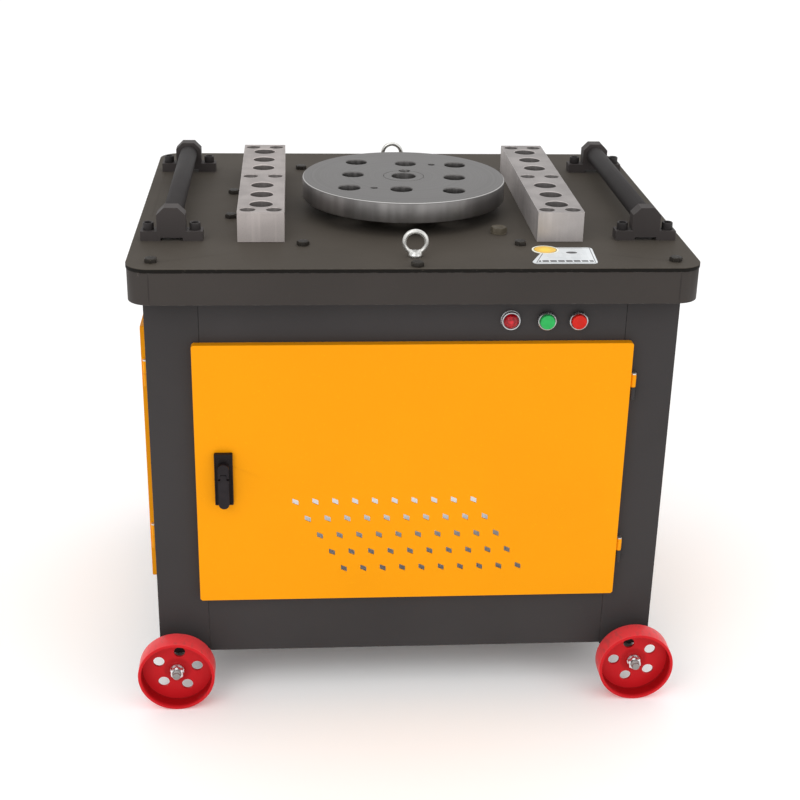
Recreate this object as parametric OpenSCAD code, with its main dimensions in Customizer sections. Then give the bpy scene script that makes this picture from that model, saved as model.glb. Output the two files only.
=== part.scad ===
// Rebar bender: a floor machine with a turning disc on a steel table.
// Origin on the floor under the middle of the table, +Z up, front towards -Y.

/* [Table] */
// Height of the table's top face above the floor
table_h = 788; // [650:1:950]
// Width of the table plate
plate_w = 900; // [880:5:1100]
// Depth of the table plate
plate_d = 740; // [700:5:900]
// Thickness of the table plate
plate_t = 7; // [5:0.5:12]
// Radius of the table plate's corners
plate_corner_r = 38; // [20:1:45]
// Depth of the skirt below the plate
skirt_h = 52; // [30:1:65]
// Thickness of the skirt's sheet
skirt_t = 3; // [2:0.5:5]
// Step from the plate's edge in to the skirt
skirt_inset = 1; // [1:0.5:6]

/* [Frame] */
// Width of the cabinet frame
frame_w = 855; // [780:5:860]
// Depth of the cabinet frame
frame_d = 652; // [620:4:660]
// Width of each corner post's legs
post_w = 85; // [60:1:100]
// Thickness of the frame's bent sheet
frame_t = 4; // [3:0.5:5]
// Gap between the axle bars and the base rails above them
axle_clear = 4; // [4:1:20]
// Drop of the corner posts' feet below the base rails
post_drop = 3; // [1:1:3]
// Height of the base rails
base_rail_h = 121; // [80:1:160]
// Height of the top rails
top_rail_h = 141; // [115:1:170]
// Depth of the rails' folded lips
rail_lip = 34; // [28:1:34]

/* [Doors and panels] */
// How far a door overlaps the frame around its opening
door_lap = 12; // [8:1:20]
// How far a door stands out from the frame
door_proud = 15; // [12:0.5:20]
// Thickness of the door sheet
door_t = 2; // [1.5:0.5:3]
// Clipped corner of a door
door_clip = 3; // [1:0.5:6]
// Height of the lower hinge above the door's bottom edge
hinge_low = 93; // [60:1:120]
// Drop of the upper hinge below the door's top edge
hinge_drop = 68; // [50:1:120]
// Height of one hinge knuckle
knuckle_h = 22; // [16:1:30]
// Diameter of the hinge pins
hinge_pin_d = 5; // [4:0.5:6]

/* [Vent holes] */
// Vent holes in a row
vent_cols = 10; // [4:1:12]
// Rows of vent holes
vent_rows = 5; // [1:1:6]
// Spacing of the vent holes along a row
vent_pitch = 33; // [22:1:40]
// Spacing of the rows
vent_row_pitch = 31.8; // [20:0.2:34]
// Sideways step of each row
vent_step = 20.2; // [0:0.2:24]
// Width of a vent hole
vent_w = 10; // [6:0.5:14]
// Upright side of a vent hole
vent_side = 8.8; // [5:0.2:12]
// Fall of a vent hole's slanting sides
vent_fall = 4.5; // [0:0.5:8]
// Place of the vent field's middle along the door
vent_x = -3; // [-20:1:20]
// Height of the vent field's middle above the door's bottom edge
vent_z = 122; // [100:1:200]

/* [Door latch] */
// Distance of the latch from the door's free edge
latch_inset = 46; // [35:1:80]
// Width of the latch's base
latch_w = 30; // [26:1:40]
// Height of the latch's base
latch_h = 92; // [80:1:120]
// Thickness of the latch's base
latch_t = 9; // [6:1:14]
// Width of the latch's lever
lever_w = 17.6; // [14:0.2:22]
// Thickness of the latch's lever
lever_t = 9; // [9:0.5:9.5]

/* [Working disc] */
// Diameter of the working disc
disc_d = 350; // [300:5:380]
// Thickness of the working disc
disc_t = 35; // [25:1:45]
// Height of the disc's top above the table
disc_rise = 58; // [52:1:70]
// Disc centre, measured towards the back from the table's middle
disc_y = -30; // [-40:1:0]
// Diameter of the disc's pin holes
pin_hole_d = 37; // [28:1:40]
// Spacing of the disc's square of pin holes
pin_pitch = 88; // [75:1:92]
// Angle at which the disc is parked
disc_turn = -6.2; // [-45:0.1:45]
// Diameter of the shaft's nose in the disc
nose_d = 70; // [60:1:76]
// Diameter of the centre pin's hole in the shaft
centre_hole_d = 42; // [30:1:44]
// Depth of the centre pin's hole
centre_hole_depth = 75; // [40:1:90]

/* [Hole blocks] */
// Distance of each hole block from the table's middle line
block_x = 243.5; // [235:0.5:260]
// Width of a hole block
block_w = 76; // [70:1:90]
// Length of a hole block
block_l = 462; // [460:2:520]
// Height of a hole block
block_h = 50; // [40:1:60]
// Diameter of the blocks' pin holes
block_hole_d = 38; // [28:1:40]
// Spacing of the blocks' pin holes
block_pitch = 60; // [55:1:64]
// Half the sideways spacing of the block screws
block_screw_x = 21.3; // [20:0.1:22]
// Distance of the end screws from the block's middle
block_screw_y = 214; // [212:1:216]

/* [Support rollers] */
// Distance of each roller from the table's middle line
roller_x = 387; // [375:1:392]
// Distance of the front brackets from the table's middle, towards the front
bracket_front = 211; // [180:1:240]
// Distance of the rear brackets from the table's middle, towards the back
bracket_rear = 234; // [200:1:250]
// Length of a bracket's foot across the table
bracket_w = 100; // [90:1:110]
// Thickness of a bracket along the roller
bracket_d = 26; // [24:1:40]
// Height of a bracket
bracket_h = 55; // [54:1:75]
// Width of a bracket's upright
bracket_body_w = 46; // [42:1:50]
// Diameter of the support rollers
roller_d = 32; // [26:1:40]
// Height of the roller axis above the table
roller_z = 34; // [30:1:40]
// Diameter of the roller's journals
journal_d = 18; // [14:1:20]

/* [Lifting eyes] */
// Distance of the front lifting eye from the table's middle
eye_front = 307; // [295:1:310]
// Distance of the rear lifting eye from the table's middle
eye_rear = 280; // [278:1:281]
// Inside diameter of a lifting eye
eye_hole_d = 28; // [22:1:34]
// Thickness of a lifting eye's ring
eye_wire_d = 7.5; // [6:0.5:10]

/* [Wheels] */
// Diameter of the wheels
wheel_d = 130; // [130:1:160]
// Width of the wheels
wheel_w = 38; // [34:1:50]
// Depth of the wheel's dished web behind its outer rim
web_depth = 26; // [20:1:28]
// Thickness of the wheel's rim and web
wheel_t = 5; // [3:0.5:7]
// Distance of each axle from the machine's middle line
axle_x = 397; // [380:1:400]
// Distance from the middle to the wheels' outer faces
wheel_face = 387; // [380:1:400]
// Diameter of the holes in a wheel's web
wheel_hole_d = 19; // [10:1:20]
// Diameter of the circle of the web's holes
wheel_hole_pcd = 69; // [60:1:74]
// Diameter of the axle bars
axle_d = 20; // [20:1:21]
// Diameter of the axle where a wheel turns
axle_journal_d = 16; // [14:1:17]

/* [Controls] */
// Drop of the controls below the table's top face
control_drop = 101; // [95:1:105]
// Place of the pilot lamp along the front rail
lamp_x = 154.5; // [150:0.5:160]
// Place of the start button along the front rail
start_x = 212.5; // [205:0.5:218]
// Place of the stop button along the front rail
stop_x = 263.5; // [258:0.5:280]
// Diameter of a button's cap
cap_d = 24; // [20:0.5:25]
// Travel of the buttons
button_travel = 4; // [3:0.5:5]

/* [Drive] */
// Module of the last gear pair
module_3 = 4; // [4:0.5:4]
// Module of the middle gear pair
module_2 = 3; // [3:0.5:3]
// Module of the first gear pair
module_1 = 2.5; // [2.5:0.5:2.5]
// Teeth of the main gear
teeth_main = 72; // [70:1:74]
// Teeth of the second shaft's pinion
teeth_pinion_3 = 14; // [14:1:16]
// Teeth of the second shaft's gear
teeth_second = 75; // [72:1:76]
// Teeth of the first shaft's pinion
teeth_pinion_2 = 15; // [14:1:16]
// Teeth of the first shaft's gear
teeth_first = 70; // [68:1:72]
// Teeth of the motor's pinion
teeth_motor = 14; // [14:1:16]
// Diameter of the motor's body over its fins
motor_d = 200; // [180:2:210]
// Length of the motor's finned body
motor_l = 230; // [200:5:260]

/* [Hidden] */
eps = 0.01;

// Fits, as clearance on the radius
run_gap = 0.05;      // a shaft turning in its bearing or a pin in its hinge
seat_gap = 0.02;     // a bearing or gear seated on a shaft or in a housing
bolt_gap = 0.4;      // a bolt through a plain hole
face_gap = 0.5;      // flat faces that move past each other

plate_z = table_h - plate_t;                // underside of the table plate
top_rail_z = plate_z - top_rail_h;
base_z = wheel_d / 2 + axle_d / 2 + axle_clear;   // underside of the base rails
post_foot = base_z - post_drop;
base_rail_top = base_z + base_rail_h;
front_y = -frame_d / 2;
side_x = frame_w / 2;
open_w = frame_w - 2 * post_w;              // opening between the front posts
open_d = frame_d - 2 * post_w;
door_z = base_rail_top - door_lap;
door_h = top_rail_z + door_lap - door_z;
front_door_w = open_w + 2 * door_lap;
side_door_w = open_d + 2 * door_lap;
seam = 0.6;                                 // step at the weld between rail and post

// Hinges: the axis lies just outside the door's edge
knuckle_r = hinge_pin_d / 2 + 2;
hinge_out = knuckle_r + 1;                  // from the door's edge to the hinge axis
hinge_off = door_proud / 2;                 // from the frame's face to the hinge axis
hinge_zs = [door_z + hinge_low, door_z + door_h - hinge_drop];

// Latch, in the door's own frame: X right, -Y outwards, Z up
latch_pivot = latch_h / 2 - 27;             // turning axis above the base's middle
lever_len = 76;
lever_lift = 1.2;                           // gap between the lever and its base
pin_y = -(latch_t + lever_lift + lever_t / 2);
pin_drop = 10;                              // lever's pin below the turning axis
lever_pin_d = 4;
knuckle_half = 5;                           // half width of the lever's knuckle
knuckle_eye_r = 4.5;                        // radius of the knuckle and of the hub's ears
cam_w = 18;                                 // width of the locking cam
cam_t = 3;                                  // thickness of the locking cam
cam_reach = latch_inset - door_lap + 10;    // from the turning axis to the cam's tip
spindle_d = 12;
latch_z = door_z + door_h / 2;

// Disc, shaft and gearbox
disc_z = table_h + disc_rise - disc_t;
disc_top = table_h + disc_rise;
key_d = 20;
key_r = 35;
jack_r = 97;
jack_a = 61.5;
jack_d = 12;
gearbox_w = 392;
gearbox_l = 532;
gearbox_wall = 8;
gearbox_bolt_x = 176;
gearbox_bolt_y = 246;
bolt_pillar_d = 34;                         // the casting's pillars round its bolts
seat_rise = 17;                             // height of the floor's bearing seats
cover_seat_drop = 12;                       // depth of the cover's bearing seats
cover_t = 14;
cover_z = plate_z - cover_t;
boss_d = 146;                               // cover boss through the table plate
boss_hole_gap = 2;
boss_top = table_h + 5;
housing_h = 152;
housing_z = cover_z - housing_h;
floor_t = 14;

main_c = [0, disc_y];
dist_3 = module_3 * (teeth_main + teeth_pinion_3) / 2;
dist_2 = module_2 * (teeth_second + teeth_pinion_2) / 2;
dist_1 = module_1 * (teeth_first + teeth_motor) / 2;
dir_3 = 72;
dir_2 = 180;
dir_1 = 270;
second_c = main_c + dist_3 * [cos(dir_3), sin(dir_3)];
first_c = second_c + dist_2 * [cos(dir_2), sin(dir_2)];
motor_c = first_c + dist_1 * [cos(dir_1), sin(dir_1)];
pinion_shift = 0.3;

// Gear levels, upwards from the gearbox's floor
level_1 = housing_z + 26;
width_1 = 25;
level_2 = level_1 + width_1 + 5;
width_2 = 34;
level_3 = level_2 + width_2 + 4;
width_3 = 42;
bearing_w = 16;
low_bearing_z = housing_z + 5;
shaft_low = low_bearing_z + face_gap;        // lower end of every gearbox shaft
high_bearing_z = cover_z - 11;
shaft_top = high_bearing_z + bearing_w + 1;
main_bearing_w = 22;
main_bearing_z = boss_top - 8 - main_bearing_w;
main_bearing_d = 125;
main_seat_d = 80;
main_low_d = 70;
main_low_bearing_d = 110;
second_seat_d = 40;
second_bearing_d = 80;
first_seat_d = 30;
first_bearing_d = 62;

// Motor, hanging from the gearbox's floor
motor_shaft_d = 35;
motor_bearing_d = 72;
flange_t = 12;
flange_d = 220;
flange_z = housing_z - flange_t;
motor_z = flange_z - motor_l;
motor_bore_d = motor_d - 48;
fin_h = 9;
fan_room = 58;
stator_z = motor_z + 50;
stator_l = motor_l - 90;
rotor_d = 90;
cover_sheet = 2;
motor_bearing_zs = [motor_z + 9, flange_z - 9];

// Standard fasteners: across flats, head height, shank
m10 = [18, 7, 10];
socket_12 = [18, 12, 12];
socket_16 = [24, 16, 16];

// ---------- shared shapes ----------

// Flat rectangle with round corners
module round_rect(w, d, r) {
    for (sx = [-1, 1], sy = [-1, 1]) translate([sx * (w / 2 - r), sy * (d / 2 - r)]) circle(r, $fn = 64);
    square([w - 2 * r, d], center = true);
    square([w, d - 2 * r], center = true);
}

// Puts its children at each place and its mirror across the middle line
module both_sides(x) {
    for (s = [-1, 1]) translate([s * x, 0, 0]) children();
}

// Hexagon head bolt, head up, the head's underside at z = 0
module hex_bolt(size, length) {
    cylinder(d = size[0] / cos(30), h = size[1], $fn = 6);
    translate([0, 0, -length]) cylinder(d = size[2], h = length + eps, $fn = 48);
}

// Socket head screw, head up, the head's underside at z = 0
module socket_screw(size, length) {
    difference() {
        cylinder(d = size[0], h = size[1], $fn = 48);
        translate([0, 0, size[1] / 2]) cylinder(d = size[2] * 0.96, h = size[1], $fn = 6);
    }
    translate([0, 0, -length]) cylinder(d = size[2], h = length + eps, $fn = 48);
}

// A bolt's plain hole, cut downwards from z = 0
module bolt_hole(d, depth) {
    translate([0, 0, -depth - 1]) cylinder(d = d + 2 * bolt_gap, h = depth + 2, $fn = 48);
}

// A screw's threaded hole, cut downwards from z = 0
module tapped_hole(d, depth) {
    translate([0, 0, -depth - 1]) cylinder(d = d + 2 * seat_gap, h = depth + 2, $fn = 48);
}

// Hexagon nut under a plate, its top face at z = 0
module hex_nut(size) {
    translate([0, 0, -size[2] * 0.8]) difference() {
        cylinder(d = size[0] / cos(30), h = size[2] * 0.8, $fn = 6);
        translate([0, 0, -1]) cylinder(d = size[2] + 2 * seat_gap, h = size[2] + 2, $fn = 48);
    }
}

// Half thickness of an involute tooth, as an angle at radius r
function tooth_half(m, n, x, r) =
    let (rb = m * n / 2 * cos(20),
         a = r > rb ? acos(rb / r) : 0,
         inv20 = tan(20) * 180 / PI - 20,
         inva = tan(a) * 180 / PI - a,
         slack = 0.09 / (m * n / 2) * 180 / PI)
    90 / n + 2 * x * tan(20) / n * 180 / PI + inv20 - inva - slack;

// Outline of an involute gear with one tooth centred on +X
function gear_outline(m, n, x) =
    let (rb = m * n / 2 * cos(20),
         root = m * (n / 2 - 1.25 + x),
         tip = m * (n / 2 + 1 + x) - 0.1,
         low = max(root, rb),
         rs = [low, low + (tip - low) * 0.4, low + (tip - low) * 0.75, tip])
    [for (i = [0 : n - 1]) let (c = i * 360 / n)
        each concat(
            [for (p = [[root, -tooth_half(m, n, x, low)]]) [root * cos(c + p[1]), root * sin(c + p[1])]],
            [for (r = rs) let (h = tooth_half(m, n, x, r)) [r * cos(c - h), r * sin(c - h)]],
            [for (k = [3 : -1 : 0]) let (r = rs[k], h = tooth_half(m, n, x, r))
                [r * cos(c + h), r * sin(c + h)]],
            [for (p = [[root, tooth_half(m, n, x, low)]]) [root * cos(c + p[1]), root * sin(c + p[1])]])];

// Toothed wheel, its first tooth turned to the angle a
module gear(m, n, x, width, a) {
    rotate([0, 0, a]) linear_extrude(width) polygon(gear_outline(m, n, x));
}

// Rim, thin web and hub of a large gear, bored for its shaft
module gear_wheel(m, n, x, width, a, bore_d, hub_d) {
    web = width * 0.4;
    rim_r = m * (n / 2 - 4);
    difference() {
        gear(m, n, x, width, a);
        translate([0, 0, -1]) cylinder(d = bore_d + 2 * seat_gap, h = width + 2, $fn = 96);
        for (z = [-1, (width + web) / 2]) translate([0, 0, z]) difference() {
            cylinder(r = rim_r, h = (width - web) / 2 + 1, $fn = 96);
            translate([0, 0, -1]) cylinder(d = hub_d, h = width + 2, $fn = 96);
        }
    }
}

// Plain ring
module ring(outer_d, inner_d, h) {
    difference() {
        cylinder(d = outer_d, h = h, $fn = 96);
        translate([0, 0, -1]) cylinder(d = inner_d, h = h + 2, $fn = 96);
    }
}

// ---------- table ----------

// Places on the table plate, as [x, y]
bracket_ys = [-bracket_front, bracket_rear];
eye_ys = [-eye_front, eye_rear];
bracket_bolt_x = bracket_w / 2 - 12.5;
foot_h = 16;                                // thickness of a roller bracket's foot
block_sink = 24;                            // depth of the block screws' counterbores
skirt_bolts = [[-(plate_w / 2 - 39), -(plate_d / 2 - 36)], [plate_w / 2 - 39, -(plate_d / 2 - 36)],
    [0, -(plate_d / 2 - 14)], [-block_x, plate_d / 2 - 25], [block_x, plate_d / 2 - 25],
    [0, plate_d / 2 - 25]];
rail_bolts = [[-297, -88], [-297, 68]];
oil_plug_at = [149, -181];

// Data plate: the middles of its round corners, and its seal
plate_round = 16;
plate_corners = [[190, -340], [277, -340], [281, -273], [220, -273]];
seal_at = [212, -276];
seal_d = 43;

module at_gearbox_bolts() {
    for (sx = [-1, 1], sy = [-1, 1])
        translate([sx * gearbox_bolt_x, sy * gearbox_bolt_y, 0]) children();
}

module at_block_screws(side) {
    for (sx = [-1, 1], y = [-block_screw_y, 0, block_screw_y])
        translate([side * block_x + sx * block_screw_x, y, 0]) children();
}

module at_bracket_screws() {
    for (side = [-1, 1], y = bracket_ys, sx = [-1, 1])
        translate([side * roller_x + sx * bracket_bolt_x, y, 0]) children();
}

// Flame-cut steel plate that carries everything on top
module table_plate() color([0.31, 0.29, 0.27]) difference() {
    translate([0, 0, plate_z]) linear_extrude(plate_t) round_rect(plate_w, plate_d, plate_corner_r);
    translate([main_c[0], main_c[1], plate_z - 1])
        cylinder(d = boss_d + 2 * boss_hole_gap, h = plate_t + 2, $fn = 128);
    translate([0, 0, table_h]) {
        at_gearbox_bolts() bolt_hole(m10[2], plate_t);
        for (p = concat(skirt_bolts, rail_bolts)) translate([p[0], p[1], 0]) bolt_hole(m10[2], plate_t);
        for (side = [-1, 1]) at_block_screws(side) bolt_hole(socket_16[2], plate_t);
        at_bracket_screws() tapped_hole(socket_12[2], plate_t);
        for (y = eye_ys) translate([0, y, 0]) bolt_hole(m10[2], plate_t);
        translate([oil_plug_at[0], oil_plug_at[1], 0]) bolt_hole(16, plate_t);
    }
}

// Folded band under the plate's edge, with a lug at each of its bolts
module skirt() color([0.24, 0.23, 0.23]) {
    sw = plate_w - 2 * skirt_inset;
    sd = plate_d - 2 * skirt_inset;
    r = plate_corner_r - skirt_inset;
    lug_t = 5;
    translate([0, 0, plate_z - skirt_h]) linear_extrude(skirt_h) difference() {
        round_rect(sw, sd, r);
        round_rect(sw - 2 * skirt_t, sd - 2 * skirt_t, r - skirt_t);
    }
    lug_w = 34;
    for (p = skirt_bolts) {
        s = sign(p[1]);
        reach = sd / 2 - skirt_t + eps;
        difference() {
            translate([p[0] - lug_w / 2, s > 0 ? frame_d / 2 + 1 : -reach, plate_z - lug_t])
                cube([lug_w, reach - frame_d / 2 - 1, lug_t]);
            translate([p[0], p[1], plate_z]) bolt_hole(m10[2] - 1, lug_t);
        }
    }
}

// ---------- cabinet frame ----------

// Angle-section posts, bent from sheet and tapped for the fixed panels' screws
module corner_posts() color([0.25, 0.24, 0.24]) difference() {
    for (sx = [0, 1], sy = [0, 1]) mirror([sx, 0, 0]) mirror([0, sy, 0])
        translate([-side_x, front_y, post_foot]) linear_extrude(plate_z - post_foot)
            polygon([[0, 0], [post_w, 0], [post_w, frame_t], [frame_t, frame_t],
                     [frame_t, post_w], [0, post_w]]);
    to_right() at_panel_screws(side_door_w) tapped_hole(panel_screw_d, door_proud + frame_t);
    to_rear() at_panel_screws(front_door_w) tapped_hole(panel_screw_d, door_proud + frame_t);
}

// Channel-section rail along X, its web towards -Y on y = 0, from z = 0 upwards
module channel(length, height) {
    translate([-length / 2, 0, 0]) rotate([90, 0, 90]) linear_extrude(length)
        polygon([[0, 0], [rail_lip, 0], [rail_lip, frame_t], [frame_t, frame_t],
                 [frame_t, height - frame_t], [rail_lip, height - frame_t],
                 [rail_lip, height], [0, height]]);
}

// Front rail with the holes for the lamp and the buttons
module front_rail() color([0.25, 0.24, 0.24]) difference() {
    translate([0, front_y + seam, top_rail_z]) channel(open_w, top_rail_h);
    translate([0, -eye_front, table_h]) bolt_hole(m10[2], plate_t + frame_t);
    for (x = [lamp_x, start_x, stop_x]) at_control(x)
        translate([0, 0, -1]) cylinder(d = control_hole_d, h = frame_t + seam + 2, $fn = 64);
}

// The other top rails, the base rails and the table's stiffening bar
module frame_rails() color([0.25, 0.24, 0.24]) {
    difference() {
        translate([rail_bolts[0][0] - 14, front_y + rail_lip + 1, plate_z - 8])
            cube([28, frame_d - 2 * rail_lip - 2, 8]);
        for (p = rail_bolts) translate([p[0], p[1], table_h]) bolt_hole(m10[2], plate_t + 8);
    }
    rotate([0, 0, 180]) translate([0, front_y + seam, top_rail_z]) channel(open_w, top_rail_h);
    for (a = [-90, 90]) rotate([0, 0, a]) translate([0, -side_x + seam, top_rail_z])
        channel(open_d, top_rail_h);
    translate([0, front_y + seam, base_z]) channel(open_w, base_rail_h);
    difference() {
        rotate([0, 0, 180]) translate([0, front_y + seam, base_z]) channel(open_w, base_rail_h);
        translate([gland_x, frame_d / 2 - frame_t - 1, gland_z]) rotate([-90, 0, 0])
            cylinder(d = gland_hole_d, h = frame_t + 2, $fn = 64);
    }
    for (a = [-90, 90]) rotate([0, 0, a]) translate([0, -side_x + seam, base_z])
        channel(open_d, base_rail_h);
}

// ---------- doors and panels ----------

// One slanting vent hole, drawn in X and Z
module vent_hole() {
    polygon([[-vent_w / 2, -vent_side / 2 + vent_fall / 2], [vent_w / 2, -vent_side / 2 - vent_fall / 2],
             [vent_w / 2, vent_side / 2 - vent_fall / 2], [-vent_w / 2, vent_side / 2 + vent_fall / 2]]);
}

// Field of vent holes about its own middle, each row stepped sideways
module vent_field() {
    for (r = [0 : vent_rows - 1], c = [0 : vent_cols - 1])
        translate([(c - (vent_cols - 1) / 2) * vent_pitch + (r - (vent_rows - 1) / 2) * vent_step,
                   ((vent_rows - 1) / 2 - r) * vent_row_pitch]) vent_hole();
}

// Shallow sheet tray, open to the back: X right, -Y outwards, its back edge on y = 0
module tray(w, h, back_gap) {
    outline = [[-w / 2 + door_clip, 0], [w / 2 - door_clip, 0], [w / 2, door_clip],
        [w / 2, h - door_clip], [w / 2 - door_clip, h], [-w / 2 + door_clip, h],
        [-w / 2, h - door_clip], [-w / 2, door_clip]];
    difference() {
        translate([0, -back_gap, 0]) rotate([90, 0, 0])
            linear_extrude(door_proud - back_gap) polygon(outline);
        translate([-w / 2 + door_t, -door_proud + door_t, door_t])
            cube([w - 2 * door_t, door_proud, h - 2 * door_t]);
    }
}

// Vent holes cut through a tray's sheet
module tray_vents() {
    translate([vent_x, -door_proud + door_t + 1, vent_z]) rotate([90, 0, 0])
        linear_extrude(door_t + 2) vent_field();
}

// The door's half of a hinge: a knuckle on a short tab
module door_knuckle(edge) {
    reach = hinge_out + door_t / 2;
    translate([edge, -hinge_off, 0]) difference() {
        union() {
            cylinder(r = knuckle_r, h = knuckle_h, $fn = 48);
            translate([-reach, -2, 0]) cube([reach, 4, knuckle_h]);
        }
        translate([0, 0, -1]) cylinder(d = hinge_pin_d + 2 * run_gap, h = knuckle_h + 2, $fn = 48);
    }
}

// Complete door, its hinges on the right and its latch on the left
module door(w, vented) {
    difference() {
        translate([0, 0, door_z]) tray(w, door_h, face_gap);
        if (vented) translate([0, 0, door_z]) tray_vents();
        translate([latch_inset - w / 2, 0, latch_z + latch_pivot]) rotate([90, 0, 0])
            cylinder(d = spindle_d + 3, h = door_proud + 1, $fn = 48);
    }
    for (z = hinge_zs) translate([0, 0, z - knuckle_h / 2]) door_knuckle(w / 2 + hinge_out);
}

module to_front() translate([0, front_y, 0]) children();
module to_left() rotate([0, 0, -90]) translate([0, -side_x, 0]) children();
module to_right() rotate([0, 0, 90]) translate([0, -side_x, 0]) children();
module to_rear() rotate([0, 0, 180]) translate([0, front_y, 0]) children();

module front_door() color([1, 0.62, 0.06]) to_front() door(front_door_w, true);

module side_door() color([1, 0.62, 0.06]) to_left() door(side_door_w, false);

// Fixed cover on the right side, held by screws
module right_panel() color([1, 0.62, 0.06]) to_right() difference() {
    translate([0, 0, door_z]) tray(side_door_w, door_h, 0);
    at_panel_screws(side_door_w) bolt_hole(panel_screw_d, door_proud + 2);
    at_box_screws() bolt_hole(panel_screw_d, door_proud + 2);
}

// Fixed cover on the back, vented for the motor
module rear_panel() color([1, 0.62, 0.06]) to_rear() difference() {
    translate([0, 0, door_z]) tray(front_door_w, door_h, 0);
    translate([0, 0, door_z]) tray_vents();
    at_panel_screws(front_door_w) bolt_hole(panel_screw_d, door_proud + 2);
}

panel_screw_d = 6;
panel_screw_in = 8;                         // from the panel's edge to its screws
box_screw_at = [70, 90];                    // half spacing of the control box's screws
box_mid_z = door_z + door_h / 2 + 30;

// Screw places on a panel, each with its own +Z pointing outwards
module at_panel_screws(w) {
    for (sx = [-1, 1], z = [door_z + panel_screw_in, door_z + door_h / 2, door_z + door_h - panel_screw_in])
        translate([sx * (w / 2 - panel_screw_in), -door_proud, z]) rotate([90, 0, 0]) children();
}

module at_box_screws() {
    for (sx = [-1, 1], sz = [-1, 1])
        translate([sx * box_screw_at[0], -door_proud, box_mid_z + sz * box_screw_at[1]])
            rotate([90, 0, 0]) children();
}

// Button head screw with its shank towards -Z
module panel_screw(length) {
    difference() {
        cylinder(d1 = 12, d2 = 9, h = 3, $fn = 48);
        translate([0, 0, 1.4]) cylinder(d = 4, h = 3, $fn = 6);
    }
    translate([0, 0, -length]) cylinder(d = panel_screw_d, h = length + eps, $fn = 32);
}

module panel_screws() color([0.2, 0.2, 0.2]) {
    to_right() at_panel_screws(side_door_w) panel_screw(door_proud + frame_t + 3);
    to_rear() at_panel_screws(front_door_w) panel_screw(door_proud + frame_t + 3);
    to_right() at_box_screws() panel_screw(door_t + box_wall + 2);
}

// The frame's half of a hinge: a knuckle on a leaf against the post
module frame_knuckle(edge) {
    leaf = 6;
    low = knuckle_h + face_gap;
    translate([edge, -hinge_off, -low]) difference() {
        union() {
            cylinder(r = knuckle_r, h = knuckle_h, $fn = 48);
            translate([-2, 0, 0]) cube([4, hinge_off, knuckle_h]);
            translate([-2, hinge_off - 3, 0]) cube([leaf, 3, knuckle_h]);
        }
        translate([0, 0, -1]) cylinder(d = hinge_pin_d + 2 * seat_gap, h = knuckle_h + 2, $fn = 48);
    }
}

module at_hinges() {
    for (z = hinge_zs) translate([0, 0, z - knuckle_h / 2]) {
        to_front() children(0);
        to_left() children(1);
    }
}

module hinge_knuckles() color([0.25, 0.24, 0.24]) at_hinges() {
    frame_knuckle(front_door_w / 2 + hinge_out);
    frame_knuckle(side_door_w / 2 + hinge_out);
}

// Pin with a flat head resting on the door's knuckle
module hinge_pin(edge) {
    translate([edge, -hinge_off, 0]) {
        translate([0, 0, -knuckle_h - face_gap]) cylinder(d = hinge_pin_d, h = 2 * knuckle_h + 2, $fn = 48);
        translate([0, 0, knuckle_h + 0.3]) cylinder(r = knuckle_r, h = 2, $fn = 48);
    }
}

module hinge_pins() color([0.6, 0.6, 0.6]) at_hinges() {
    hinge_pin(front_door_w / 2 + hinge_out);
    hinge_pin(side_door_w / 2 + hinge_out);
}

// ---------- door latches ----------

// Moves a latch part onto a door of width w
module at_latch(w) translate([latch_inset - w / 2, -door_proud, latch_z]) children();

// Black moulded base plate, bored for the turning hub
module latch_base() difference() {
    translate([-latch_w / 2, -latch_t, -latch_h / 2]) cube([latch_w, latch_t, latch_h]);
    translate([0, 1, latch_pivot]) rotate([90, 0, 0])
        cylinder(d = spindle_d + 2 * run_gap, h = latch_t + 2, $fn = 48);
}

// Hub, spindle and locking cam, with two ears for the lever's pin; the cam rests upright, released
module latch_hub() {
    gap = 0.4;
    head_rise = 4;
    head_t = lever_t + lever_lift - gap;
    ear_w = lever_w / 2 - knuckle_half - gap;
    cam_y = door_proud + frame_t + 1;
    translate([0, -latch_t - gap, latch_pivot]) rotate([90, 0, 0]) intersection() {
        union() {
            for (up = [0, head_rise]) translate([0, up, 0]) cylinder(d = lever_w, h = head_t, $fn = 64);
            translate([-lever_w / 2, 0, 0]) cube([lever_w, head_rise, head_t]);
        }
        translate([-lever_w, -pin_drop + knuckle_eye_r + gap, -1])
            cube([2 * lever_w, 2 * lever_w, head_t + 2]);
    }
    translate([0, -latch_t - gap - eps, latch_pivot]) rotate([-90, 0, 0])
        cylinder(d = spindle_d, h = latch_t + gap + cam_y + cam_t, $fn = 48);
    for (s = [-1, 1]) translate([s * (knuckle_half + gap + ear_w / 2), 0, 0]) {
        translate([0, pin_y, latch_pivot - pin_drop]) rotate([0, 90, 0])
            cylinder(r = knuckle_eye_r, h = ear_w, center = true, $fn = 48);
        translate([-ear_w / 2, pin_y - knuckle_eye_r, latch_pivot - pin_drop])
            cube([ear_w, 2 * knuckle_eye_r, pin_drop - 2]);
    }
    translate([0, pin_y, latch_pivot - pin_drop]) rotate([0, 90, 0])
        cylinder(d = lever_pin_d, h = lever_w - 1, center = true, $fn = 32);
    translate([-cam_w / 2, cam_y, latch_pivot - cam_w / 2]) cube([cam_w, cam_t, cam_reach + cam_w / 2]);
}

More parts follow.
